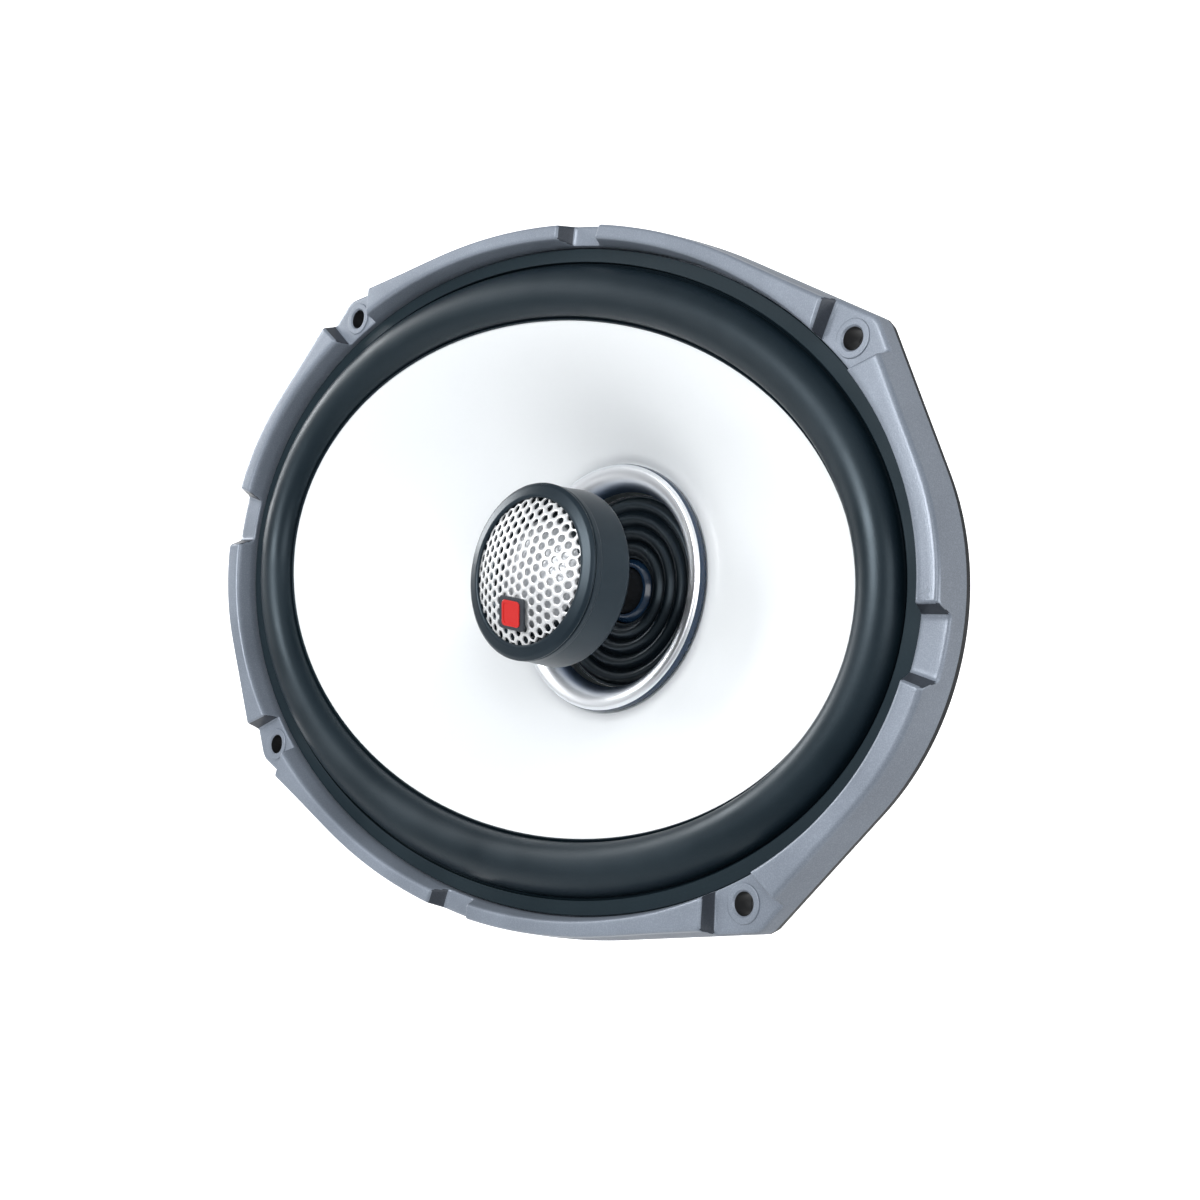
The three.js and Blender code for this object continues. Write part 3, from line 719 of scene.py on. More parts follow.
@dataclass
class RimOutline:
    """The rim's outer outline: two arcs and a corner round in each quadrant, joined by straights."""

    top_centre: float = -84.0
    top_radius: float = 165.2
    end_centre: float = 60.2
    end_radius: float = 58.0
    top_slope: float = math.radians(72.93)
    side_slope: float = math.radians(35.0)
    corner_radius: float = 4.0
    arc_steps: int = 40

    def corner_centre(self) -> Pair:
        """Finds where the two straights, moved in by the corner's radius, cross.

        Returns:
            The centre of the corner's round, as X and Z.
        """
        n1 = (math.cos(self.top_slope), math.sin(self.top_slope))
        n2 = (math.cos(self.side_slope), math.sin(self.side_slope))
        d1 = n1[1] * self.top_centre + self.top_radius - self.corner_radius
        d2 = n2[0] * self.end_centre + self.end_radius - self.corner_radius
        det = n1[0] * n2[1] - n1[1] * n2[0]
        return (d1 * n2[1] - d2 * n1[1]) / det, (n1[0] * d2 - n2[0] * d1) / det

    def quadrant(self, inset: float = 0.0) -> list[Vector]:
        """Lays closely spaced points from the top of the outline to its right end.

        Args:
            inset: how far the outline is moved in.

        Returns:
            The points.
        """
        arcs = [
            ((0.0, self.top_centre), self.top_radius, math.pi / 2, self.top_slope),
            (self.corner_centre(), self.corner_radius, self.top_slope, self.side_slope),
            ((self.end_centre, 0.0), self.end_radius, self.side_slope, 0.0),
        ]
        points: list[Vector] = []
        for (cx, cz), radius, start, stop in arcs:
            for i in range(self.arc_steps + 1):
                turn = start + (stop - start) * i / self.arc_steps
                reach = radius - inset
                points.append(Vector((cx + reach * math.cos(turn), 0, cz + reach * math.sin(turn))))
        return points


@dataclass
class MountingRim:
    """Painted rim with raised lands, cut away round each screw hole and at the middle of each side."""

    outline: RimOutline = field(default_factory=RimOutline)
    mouth: Pair = (111.2, 76.3)
    shelf: Pair = (106.6, 72.6)
    shelf_depth: float = 3.5  # below the floor
    land_height: float = 4.0
    full_width: float = 6.6  # the rounds shrink where the rim is narrower
    flat_steps: int = 5
    hole_at: Pair = (82.55, 57.15)
    hole_radius: float = 2.45
    seat_radius: float = 4.1
    seat_raise: float = 0.3
    edge_band: float = 0.9  # black edge of the basket's flange behind the paint
    crisp: float = 40.0  # edges that turn by more than this, in degrees, stay crisp
    # where the lands end along the outline, as X on the mouth and on the outline
    land_ends: tuple[Pair, ...] = ((0.0, 0.0), (6.2, 7.0), (74.4, 75.85), (84.3, 93.0), (110.75, 117.65))
    end_slopes: tuple[float, ...] = (1.8, 1.8, 0.9, 0.9, 1.5)  # run of each end face

    back: float = field(init=False)  # depths taken from the frame
    floor: float = field(init=False)

    def __post_init__(self) -> None:
        """Takes the depths of the rim from the frame."""
        room = Extent.of("mounting_rim")
        self.back = room.back
        self.floor = room.front + self.land_height

    def holes(self) -> list[Pair]:
        """Returns where the four screw holes are."""
        return [(sx * self.hole_at[0], sz * self.hole_at[1]) for sx in (-1, 1) for sz in (-1, 1)]

    def stations(self) -> list[tuple[Vector, Vector, float]]:
        """Places round one quadrant, from the top to the right end.

        Returns:
            For each place its point on the mouth, its point on the outline, and the land's
            height there as a share from 0 to 1.
        """
        edge = self.outline.quadrant()
        reach = np.cumsum([0.0] + [(b - a).length for a, b in zip(edge, edge[1:])])
        across = [p.x for p in edge]
        ends = [*self.land_ends, (self.mouth[0], across[-1])]
        turns = [math.asin(min(1.0, inner / self.mouth[0])) for inner, _ in ends]
        marks = [float(np.interp(outer, across, reach)) for _, outer in ends]
        made = []
        for k in range(len(ends) - 1):
            span = marks[k + 1] - marks[k]
            for share in self._shares(span):
                turn = turns[k] + (turns[k + 1] - turns[k]) * share
                along = marks[k] + span * share
                inner = Vector((self.mouth[0] * math.sin(turn), 0, self.mouth[1] * math.cos(turn)))
                outer = self._point(edge, reach, along)
                made.append((inner, outer, self._height(k, marks, along)))
        end = Vector((self.mouth[0], 0, 0)), edge[-1]
        made.append((*end, self._height(len(ends) - 2, marks, marks[-1])))
        return made

    @staticmethod
    def _shares(span: float) -> list[float]:
        """Places along a stretch of the outline, close together near both its ends.

        Args:
            span: the stretch's length.

        Returns:
            Shares of the stretch, from 0 to just under 1.
        """
        near = [0.0, 0.15, 0.3, 0.45, 0.6, 0.8, 1.0, 1.3, 1.6, 2.0, 2.5, 3.2]
        places = {round(d, 4) for d in near if d < span / 2}
        places |= {round(span - d, 4) for d in near if 0 < d < span / 2}
        count = max(2, int(span / 1.6))
        places |= {round(span * i / count, 4) for i in range(count) if 3.6 < span * i / count < span - 3.6}
        return [d / span for d in sorted(places)]

    @staticmethod
    def _point(edge: Sequence[Vector], reach: np.ndarray, along: float) -> Vector:
        """Finds the point of a polyline at a distance along it.

        Args:
            edge: the polyline's points.
            reach: the distance of each point along it.
            along: the distance asked for.

        Returns:
            The point.
        """
        i = min(max(int(np.searchsorted(reach, along, side="right")) - 1, 0), len(edge) - 2)
        span = reach[i + 1] - reach[i]
        return edge[i].lerp(edge[i + 1], float((along - reach[i]) / span) if span > 0 else 0.0)

    def _height(self, stretch: int, marks: Sequence[float], along: float) -> float:
        """The land's height at a place, as a share.

        Args:
            stretch: which stretch between land ends the place is in; even ones are cut away.
            marks: distances of the land ends along the outline.
            along: distance of the place along the outline.

        Returns:
            1 on a land, 0 on the floor and between the two on an end face.
        """
        before, after = along - marks[stretch], marks[stretch + 1] - along
        if stretch == 0:
            before = math.inf
        if stretch == len(marks) - 2:
            after = math.inf
        nearest = stretch if before < after else stretch + 1
        into = min(before, after)
        run = self.end_slopes[min(nearest, len(self.end_slopes) - 1)]
        if stretch % 2:
            return 1.0 - 0.14 * max(0.0, 1 - into / 0.6) ** 2
        if into >= run * 1.6:
            return 0.0
        if into <= run:
            return 0.86 - 0.74 * into / run
        return 0.12 * (1 - (into - run) / (run * 0.6)) ** 2

    def section(self, inner: Vector, outer: Vector, height: float) -> list[Triple]:
        """The rim's closed cross-section at one place.

        Args:
            inner: the point on the mouth.
            outer: the point on the outline.
            height: the land's height there as a share.

        Returns:
            The section's points, from the shelf over the top to the back.
        """
        width = (outer - inner).length
        scale = min(1.0, width / self.full_width)
        inward = (outer - inner).normalized()
        lip = [  # from the mouth: distance and height on the floor, then on a land
            (0.0, -self.shelf_depth, 0.0, -self.shelf_depth),
            (0.0, -0.5, 0.0, -0.3),
            (0.05, -0.22, 0.25, 0.8),
            (0.2, -0.05, 0.75, 2.6),
            (0.45, 0.0, 0.95, 3.25),
            (0.9, 0.0, 1.2, 3.72),
            (1.5, 0.0, 1.6, 3.95),
            (2.3, 0.0, 2.2, 4.0),
            (2.9, 0.0, 2.9, 4.0),
        ]
        rim = [  # from the outline, the same
            (2.9, 0.0, 2.9, 4.0),
            (2.0, 0.0, 1.95, 3.99),
            (1.3, 0.0, 1.45, 3.92),
            (0.85, -0.05, 1.15, 3.74),
            (0.5, -0.2, 0.97, 3.42),
            (0.25, -0.45, 0.84, 2.9),
            (0.1, -0.9, 0.55, 0.8),
            (0.04, -1.8, 0.25, -1.5),
        ]
        points = []
        for x0, h0, x1, h1 in lip:
            points.append((inner + inward * scale * (x0 + (x1 - x0) * height), h0 + (h1 - h0) * height))
        first, last = points[-1][0], outer - inward * scale * 2.9
        for i in range(1, self.flat_steps):
            points.append((first.lerp(last, i / self.flat_steps), self.land_height * height))
        for x0, h0, x1, h1 in rim:
            points.append((outer - inward * scale * (x0 + (x1 - x0) * height), h0 + (h1 - h0) * height))
        low = self.floor - self.back
        points.append((outer, low + self.edge_band))
        points.append((outer, low + 0.25))
        points.append((outer - inward * 0.25, low))
        ledge = Vector((inner.x * self.shelf[0] / self.mouth[0], 0, inner.z * self.shelf[1] / self.mouth[1]))
        points.append((ledge, low))
        points.append((ledge, -self.shelf_depth))
        return [(p.x, self.floor - h, p.z) for p, h in points]

    def build(self) -> bpy.types.Object:
        """Makes the rim, with its screw holes cut and its seats raised.

        Returns:
            The installed rim.
        """
        quarter = self.stations()
        ring: list[list[Triple]] = []
        for index, (sx, sz) in enumerate(QUADRANTS):
            part = []
            for inner, outer, height in quarter:
                flip = Matrix.Diagonal((sx, 1, sz))
                part.append(self.section(flip @ inner, flip @ outer, height))
            ring += (part if index % 2 == 0 else part[::-1])[:-1]
        rim = Shape.loft("rim", ring, sharp=self.crisp)
        for x, z in self.holes():
            Shape.carve(rim, Shape.shift(self._seat(), x, 0, z), join=True)
            Shape.carve(rim, Shape.shift(self._drill(), x, 0, z))
        rim.data.polygons.foreach_set("use_smooth", [True] * len(rim.data.polygons))
        rim.data.set_sharp_from_angle(angle=math.radians(self.crisp))
        rim = install(rim, RIM_PAINT, FIXED, "mounting_rim")
        # painted shade: the lands' end faces take the dark copy of the rim paint
        shade_part(rim, PAINTED_SHADE_END_FACES, self._on_end_face)
        shade_part(rim, EDGE_PAINT, self._on_outer_wall)
        # painted shade: the screw holes' walls are darkened with the black steel finish; the band at the back is the
        # black edge of the basket's flange
        shade_part(rim, BLACK_STEEL_AND_BORE_SHADE, lambda face: self._in_bore(face) or self._on_band(face))
        return rim

    def _outward(self, face: bpy.types.MeshPolygon) -> Vector:
        """Returns the direction away from the oval mouth at a face."""
        across, up = self.mouth
        return Vector((face.center.x / across ** 2, 0, face.center.z / up ** 2)).normalized()

    def _in_bore(self, face: bpy.types.MeshPolygon) -> bool:
        """Tells whether a face is on the wall of a screw hole.

        Args:
            face: the face.

        Returns:
            Whether it is.
        """
        hole_x, hole_z = self.hole_at
        away = math.hypot(abs(face.center.x) / MM - hole_x, abs(face.center.z) / MM - hole_z)
        return away < self.hole_radius + 0.25 and abs(face.normal.y) < 0.5

    def _on_outer_wall(self, face: bpy.types.MeshPolygon) -> bool:
        """Tells whether a face is on the rim's outer wall."""
        low = face.center.y / MM > self.floor - self.land_height * 0.62
        return low and face.normal.dot(self._outward(face)) > 0.8

    def _on_band(self, face: bpy.types.MeshPolygon) -> bool:
        """Tells whether a face is on the black edge behind the paint."""
        return self.back - face.center.y / MM < self.edge_band and self._on_outer_wall(face)

    def _on_end_face(self, face: bpy.types.MeshPolygon) -> bool:
        """Tells whether a face is on a land's end face, between the floor and the land's top.

        Args:
            face: the face.

        Returns:
            Whether it is.
        """
        rise = self.floor - face.center.y / MM
        outward = self._outward(face)
        sideways = abs(face.normal.x * outward.z - face.normal.z * outward.x)
        return 0.35 < rise < self.land_height - 0.5 and sideways > 0.5

    def _seat(self) -> bpy.types.Object:
        """Makes the low raised ring round a screw hole.

        Returns:
            The solid, centred on the axis.
        """
        top, foot = self.floor - self.seat_raise, self.floor + 1
        profile = [(0, top), (self.seat_radius, top), (self.seat_radius + 0.25, foot), (0, foot)]
        return Shape.turned("seat", profile, 0.2, 48, closed=False)

    def _drill(self) -> bpy.types.Object:
        """Makes the solid that cuts a screw hole with a softened mouth.

        Returns:
            The solid, centred on the axis.
        """
        top = self.floor - self.seat_raise
        profile = [(0, top - 3), (self.hole_radius + 3.4, top - 3), (self.hole_radius, top + 0.35),
                   (self.hole_radius, self.back + 2), (0, self.back + 2)]
        return Shape.turned("drill", profile, 0, 48, closed=False)


# ------------------------------------------------------------------ basket


@dataclass
class Basket:
    """Pressed-steel basket with eight windows between ribbed legs."""

    outline: RimOutline = field(default_factory=RimOutline)
    thickness: float = 1.5
    sectors: int = 8
    rib: float = 1.4
    shoulder: Triple = (104.0, 69.8, 7.0)  # half width, half height and depth where the windows start
    foot: Pair = (62.0, 60.0)
    windows: tuple[float, ...] = (0.07, 0.17, 0.38, 0.62, 0.84)  # rows of the windows, as shares
    columns: tuple[float, ...] = (-22.49, -15.5, -14.0, -10.0, -5.0, 0.0, 5.0, 10.0, 14.0, 15.5)  # degrees
    flange_inset: float = 0.5
    flange_mouth: Pair = (105.6, 71.6)
    clearance: float = 2.6  # radius of the flange's holes

    def wall_rows(self) -> list[tuple[float, float, float, bool]]:
        """Rows of the outer wall from the flange to the motor seat.

        Returns:
            For each row its half width, half height and depth, and whether a window is open below it.
        """
        back = Extent.of("basket").back
        ledge = back - 9.2
        low = (*self.foot, ledge)
        rows = [(106.6, 72.6, 0.2, False), (105.6, 71.4, 2.6, False), (*self.shoulder, False)]
        for t in self.windows:
            rows.append((*(a + (b - a) * t for a, b in zip(self.shoulder, low)), t < self.windows[-1]))
        rows += [(62.6, 60.6, ledge - 0.8, False), (61.0, 59.4, ledge, False), (52.0, 52.0, ledge, False)]
        rows += [(50.4, 50.4, ledge + 0.8, False), (48.9, 48.9, back - 1.4, False), (47.6, 47.6, back, False)]
        rows += [(34.0, 34.0, back, False), (20.0, 20.0, back, False)]
        return rows

    def build(self) -> list[bpy.types.Object]:
        """Makes the pressed wall and the flange.

        Returns:
            The two pieces.
        """
        rows = self.wall_rows()
        step = 360 / self.sectors
        offsets = self.columns
        turns = [math.radians(k * step + offset) for k in range(self.sectors) for offset in offsets]
        work = bmesh.new()
        grid = []
        for row_index, (a, b, y, _) in enumerate(rows):
            line = []
            for i, turn in enumerate(turns):
                on_leg = i % len(offsets) == 0
                lift = self.rib if on_leg and 2 <= row_index <= 7 else 0.0
                place = Vector(((a + lift) * math.cos(turn), y, (b + lift) * math.sin(turn)))
                line.append(work.verts.new(place * MM))
            grid.append(line)
        for j in range(len(rows) - 1):
            for i in range(len(turns)):
                if rows[j][3] and 1 <= i % len(offsets) <= len(offsets) - 2:
                    continue
                k = (i + 1) % len(turns)
                work.faces.new((grid[j][i], grid[j][k], grid[j + 1][k], grid[j + 1][i]))
        bmesh.ops.recalc_face_normals(work, faces=work.faces)
        wall = Shape.finish_mesh("basket_wall", work)
        thick = wall.modifiers.new("sheet", "SOLIDIFY")
        thick.thickness = self.thickness * MM
        thick.offset = -1 if self._faces_out(wall) else 1
        fine = wall.modifiers.new("pressing", "SUBSURF")
        fine.levels = fine.render_levels = 2
        shade(wall, BLACK_STEEL_AND_BORE_SHADE)
        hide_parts("basket")
        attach(wall, FIXED)
        log.info("basket_wall: %d faces before subdivision", len(wall.data.polygons))
        return [wall, self._flange()]

    @staticmethod
    def _faces_out(wall: bpy.types.Object) -> bool:
        """Tells whether the wall's first face looks away from the axis."""
        face = wall.data.polygons[0]
        return face.normal.dot(Vector((face.center.x, 0, face.center.z))) > 0

    def _flange(self) -> bpy.types.Object:
        """Makes the flat flange with its clearance holes.

        Returns:
            The installed flange.
        """
        edge = self.outline.quadrant(self.flange_inset)
        loops = []
        for index, (sx, sz) in enumerate(QUADRANTS):
            part = [(sx * p.x, sz * p.z) for p in edge]
            loops += (part if index % 2 == 0 else part[::-1])[:-1]
        sections = []
        for x, z in loops:
            turn = math.atan2(z / 71.0, x / 105.0)
            ix, iz = self.flange_mouth[0] * math.cos(turn), self.flange_mouth[1] * math.sin(turn)
            nx, nz = x * 0.999, z * 0.999
            sections.append([(x, -0.8, z), (x, -0.2, z), (nx, 0.0, nz), (ix, 0.0, iz), (ix, -1.0, iz),
                             (nx, -1.0, nz)])
        flange = Shape.loft("basket_flange", sections)
        for x, z in RIM.holes():
            bore = [(0, -3), (self.clearance, -3), (self.clearance, 2), (0, 2)]
            drill = Shape.turned("drill", bore, 0, 40, closed=False)
            Shape.carve(flange, Shape.shift(drill, x, 0, z))
        return install(flange, BLACK_STEEL_AND_BORE_SHADE, FIXED)


# ------------------------------------------------------------------ suspension


@dataclass
class Suspension:
    """What lets the cone move: the rubber surround and its gasket, and the spider."""

    roll_outer: Pair = (106.2, 72.2)
    roll_bulge: float = 5.0
    roll_steps: int = 18
    roll_foot: float = -4.3  # depth of the roll's edges
    gasket_mouth: Pair = (107.0, 72.8)
    skin: float = 0.8
    spider_waves: int = 6

    def build(self) -> list[bpy.types.Object]:
        """Returns the gasket, the surround and the spider."""
        return [self._gasket(), self._surround(), self._spider()]

    def _gasket(self) -> bpy.types.Object:
        """Makes the flat gasket that holds the surround's edge down.

        Returns:
            The installed gasket.
        """
        room = Extent.of("surround_gasket")
        ring = [(*room.half, room.front + 0.1), (*room.half, room.back),
                (*self.gasket_mouth, room.back), (*self.gasket_mouth, room.front)]
        profile = Shape.rounded(ring, 0.3)
        return install(Shape.oval("gasket", profile), GASKET, FIXED, "surround_gasket")

    def _surround(self) -> bpy.types.Object:
        """Makes the half-roll rubber surround.

        Returns:
            The installed surround.
        """
        edge = Extent.of("cone").half
        cone_front = Extent.of("cone").front
        inner = (edge[0] + 0.3, edge[1] + 0.3)
        foot = self.roll_foot
        front, back = [], []
        for i in range(self.roll_steps + 1):
            turn = math.pi * i / self.roll_steps
            across = (1 - math.cos(turn)) / 2
            a, b = (o + (n - o) * across for o, n in zip(self.roll_outer, inner))
            rise = self.roll_bulge * math.sin(turn) ** 0.9
            pull = self.skin * math.cos(turn)
            front.append((a, b, foot - rise, across))
            back.append((a - pull, b - pull, foot - max(0.0, rise - self.skin), across))
        lip = [(inner[0] - 0.5, inner[1] - 0.5, cone_front - 0.35, 1.0),
               (inner[0] - 0.75, inner[1] - 0.75, cone_front - 0.1, 1.0),
               (inner[0] - 0.6, inner[1] - 0.6, cone_front + 0.3, 1.0)]
        flange = [(110.5, 75.7, -3.35, 0.0), (110.5, 75.7, -4.0, 0.0), (107.3, 73.1, -4.1, 0.0),
                  (106.7, 72.65, -4.6, 0.0)]
        under = [(105.4, 71.4, -3.35, 0.0)]
        whole = [*flange, *front, *lip, *reversed(back), *under]
        piece = Shape.oval("surround", [p[:3] for p in whole], sharp=50)
        return install_flexible(piece, SURROUND, (FIXED, MOVING), "cone_surround")

    def _spider(self) -> bpy.types.Object:
        """Makes the pleated cloth spider, glued to the coil former and the basket's ledge.

        Returns:
            The installed spider.
        """
        room = Extent.of("spider")
        inner = Extent.of("coil_former").radius + 0.3
        whole = PleatedRing(room.radius, inner, room.middle.y, 1.5, self.spider_waves, 0.45)
        piece = Shape.oval("spider_cloth", whole.profile(), sharp=60)
        return install_flexible(piece, AMBER_CLOTH, (FIXED, MOVING), "spider")


@dataclass
class PleatedRing:
    """A ring of cloth with round pleats."""

    outer: float
    inner: float
    depth: float
    height: float
    waves: int
    skin: float
    flat: float = 2.0  # plain glue land at each edge
    per_wave: int = 14
    cusped: bool = False  # round ridges that meet in sharp valleys

    def _front(self) -> list[Triple]:
        """Lays the points of the front from the outer edge to the inner.

        Returns:
            Radius, depth and share across for each point.
        """
        steps = self.waves * self.per_wave
        points = [(self.outer, self.depth, 0.0)]
        start, stop = self.outer - self.flat, self.inner + self.flat
        for i in range(steps + 1):
            t = i / steps
            phase = math.pi * self.waves * t
            lift = self.height / 2 * (abs(math.sin(phase)) if self.cusped else math.sin(phase) ** 2)
            radius = start + (stop - start) * t
            points.append((radius, self.depth - lift, (self.outer - radius) / (self.outer - self.inner)))
        points.append((self.inner, self.depth, 1.0))
        return points

    def profile(self) -> list[Triple]:
        """Returns the closed profile as half width, half height and depth."""
        front = [(r, r, y) for r, y, _ in self._front()]
        return front + [(r, r, y + self.skin) for r, _, y in reversed(front)]


# ------------------------------------------------------------------ cone assembly


@dataclass
class ConeAssembly:
    """The moving part of the woofer: cone, trim ring, dust seal, former and coil."""

    skin: float = 1.0
    flare: float = 1.2  # above 1 the cone opens towards its edge
    steps: int = 40
    seal_waves: int = 4
    crest_width: float = 1.3  # of the trim ring's outer flank
    crest_rise: float = 1.7
    lip_radius: float = 23.8
    coil_turns: int = 40

    def build(self) -> list[bpy.types.Object]:
        """Returns the cone, the trim ring, the dust seal, the former and the coil."""
        return [self._cone(), self._trim_ring(), self._dust_seal(), self._former(), self._coil()]

    def _cone(self) -> bpy.types.Object:
        """Makes the oval cone with a rounded rim, running down to its round neck.

        Returns:
            The installed cone.
        """
        room, trim = Extent.of("cone"), Extent.of("cone_trim_ring")
        neck = Extent.of("coil_former").radius + 0.3
        landing = (trim.radius + 0.3, trim.radius + 0.3, trim.front + self.crest_rise + 1.1)
        front = []
        for i in range(self.steps + 1):
            t = i / self.steps
            a, b = (edge + (land - edge) * t for edge, land in zip(room.half, landing))
            front.append((a, b, room.front + (landing[2] - room.front) * t ** self.flare))
        front += [(r, r, landing[2] + (landing[0] - r) * 0.83) for r in (28.0, 24.0, 20.0, neck)]
        back = [(a, b, y + self.skin) for a, b, y in reversed(front)]
        lip = (front[0][0] + 0.25, front[0][1] + 0.25, front[0][2] + self.skin / 2)
        piece = Shape.oval("cone_body_shell", [*front, *back, lip], sharp=70)
        return install(piece, WHITE_CONE, MOVING, "cone")

    def _trim_ring(self) -> bpy.types.Object:
        """Makes the plated ring: a rounded crest, then a trumpet down to a thin inner lip.

        Returns:
            The installed ring, with painted shade on its outer flank and a painted highlight on its lip.
        """
        room = Extent.of("cone_trim_ring")
        outer, front, lip = room.radius, room.front, room.back - 0.8
        crest = outer - self.crest_width
        quarter = [math.pi / 2 * i / 12 for i in range(13)]
        flank = [(crest + self.crest_width * math.sin(t), front + self.crest_rise * (1 - math.cos(t)))
                 for t in reversed(quarter)]
        fall, run = lip - front, crest - self.lip_radius
        trumpet = [(crest - run * math.sin(t), front + fall * (1 - math.cos(t))) for t in quarter[1:]]
        rear = [(self.lip_radius, lip + 0.8), (outer, front + self.crest_rise + 0.8)]
        profile = [(r, r, y) for r, y in [*flank, *trumpet, *rear]]
        ring = install(Shape.oval("trim_ring", profile, sharp=50), CHROME, MOVING, "cone_trim_ring")
        steep = (crest + self.crest_width * 0.8) * MM
        lip_edge = (self.lip_radius + 0.2) * MM
        # painted shade: the steep outer flank takes the dark gloss finish, standing for the shadow under the crest
        shade_part(ring, GLOSS_BLACK_AND_FLANK_SHADE, lambda face: math.hypot(face.center.x, face.center.z) > steep)
        # painted highlight: the faces at the inner lip take the pale tin finish as a bright line
        shade_part(ring, TIN_AND_LIP_HIGHLIGHT, lambda face: math.hypot(face.center.x, face.center.z) < lip_edge)
        return ring

    def _dust_seal(self) -> bpy.types.Object:
        """Makes the pleated seal between the moving neck and the fixed collar.

        Returns:
            The installed seal.
        """
        room = Extent.of("dust_seal")
        inner = Extent.of("seal_collar").radius + 0.15
        whole = PleatedRing(room.radius + 0.3, inner, room.middle.y + 0.9, 3.2, self.seal_waves, 0.4,
                            flat=0.5, cusped=True)
        piece = Shape.oval("seal_cloth", whole.profile(), sharp=40)
        return install_flexible(piece, SEAL_CLOTH, (MOVING, FIXED), "dust_seal")

    def _former(self) -> bpy.types.Object:
        """Makes the thin tube that carries the coil.

        Returns:
            The installed former.
        """
        room = Extent.of("coil_former")
        ring = [(room.radius, room.front), (room.radius, room.back),
                (room.radius - 0.4, room.back), (room.radius - 0.4, room.front)]
        return install(Shape.turned("former", ring, 0.1, 96), FORMER_FILM, MOVING, "coil_former")

    def _coil(self) -> bpy.types.Object:
        """Makes the winding, with its turns as fine beads.

        Returns:
            The installed coil.
        """
        room = Extent.of("voice_coil")
        pitch = (room.back - room.front) / self.coil_turns
        outer = []
        for i in range(self.coil_turns):
            start = room.front + i * pitch
            outer += [(room.radius - 0.12, start), (room.radius, start + pitch * 0.5)]
        profile = [*outer, (room.radius - 0.12, room.back), (room.radius - 1.0, room.back),
                   (room.radius - 1.0, room.front)]
        piece = Shape.oval("coil_winding", [(r, r, y) for r, y in profile], 96, sharp=80)
        return install(piece, COPPER, MOVING, "voice_coil")


# ------------------------------------------------------------------ motor


@dataclass
class Motor:
    """Magnet system behind the basket: top plate, ring magnet, back plate with pole, label, rivets."""

    pole_radius: float = 14.4
    plate_bore: float = 17.4
    magnet_bore: float = 24.0
    magnet_chamfer: float = 1.2
    label_bore: float = 30.0
    plate_thickness: float = 6.0
    groove_half: float = 1.7

    def build(self) -> list[bpy.types.Object]:
        """Returns every piece of the motor."""
        return [self._top_plate(), self._magnet(), self._back_plate(), self._label(), *self._rivets()]

    def _top_plate(self) -> bpy.types.Object:
        """Makes the zinc-plated front plate.

        Returns:
            The installed plate.
        """
        room = Extent.of("top_plate")
        ring = [(room.radius, room.front), (room.radius, room.back),
                (self.plate_bore, room.back), (self.plate_bore, room.front)]
        return install(Shape.turned("front_plate", ring, 0.6), ZINC, FIXED, "top_plate")

    def _magnet(self) -> bpy.types.Object:
        """Makes the ferrite ring with chamfered edges.

        Returns:
            The installed magnet.
        """
        room = Extent.of("ring_magnet")
        outer, bore, cut = room.radius, self.magnet_bore, self.magnet_chamfer
        ring = [(outer, room.front + cut), (outer, room.back - cut), (outer - cut, room.back),
                (bore, room.back), (bore, room.front), (outer - cut, room.front)]
        return install(Shape.turned("ferrite_ring", ring, 0.3), FERRITE, FIXED, "ring_magnet")

    def _back_plate(self) -> bpy.types.Object:
        """Makes the back plate and pole, with the nut's pocket and the cable's groove.

        Returns:
            The installed back plate.
        """
        room = Extent.of("back_plate_pole")
        nut = Extent.of("post_nut")
        shoulder = room.back - self.plate_thickness
        profile = [(3.5, room.front), (self.pole_radius, room.front), (self.pole_radius, shoulder),
                   (room.radius, shoulder), (room.radius, room.back - 1.4), (room.radius - 1.4, room.back),
                   (7.0, room.back), (7.0, nut.front - 0.3), (3.5, nut.front - 0.3)]
        plate = Shape.turned("pole_plate", profile, 0.4)
        half = self.groove_half
        cut = [(-half, -60), (half, -60), (half, -5), (-half, -5)]
        groove = Shape.prism("groove", cut, room.back - 3.2, 90, 0)
        Shape.carve(plate, groove)
        return install(plate, ZINC, FIXED, "back_plate_pole")

    def _label(self) -> bpy.types.Object:
        """Makes the plain silver label ring, slotted over the cable.

        Returns:
            The installed label.
        """
        room = Extent.of("rear_label")
        ring = [(room.radius, room.front), (room.radius, room.back),
                (self.label_bore, room.back), (self.label_bore, room.front)]
        label = Shape.turned("label_ring", ring, 0.08)
        Shape.carve(label, Shape.prism("slot", [(-3, -60), (3, -60), (3, 0), (-3, 0)], 70, 90, 0))
        return install(label, LABEL, FIXED, "rear_label")

    def _rivets(self) -> list[bpy.types.Object]:
        """Makes the four rivets that hold the top plate to the basket.

        Returns:
            The installed rivets.
        """
        made = []
        for number in range(1, 5):
            room = Extent.of(f"motor_rivet_{number}")
            head = (room.high.x - room.low.x) / 2
            profile = [(0, room.front), (head * 0.7, room.front), (head, room.front + 0.9),
                       (head, room.front + 1.2), (1.4, room.front + 1.2), (1.4, room.back), (0, room.back)]
            rivet = Shape.turned(f"plate_rivet_{number}", profile, 0.3, 32, closed=False)
            Shape.shift(rivet, room.middle.x, 0, room.middle.z)
            made.append(install(rivet, ZINC, FIXED, f"motor_rivet_{number}"))
        return made


# ------------------------------------------------------------------ tweeter post


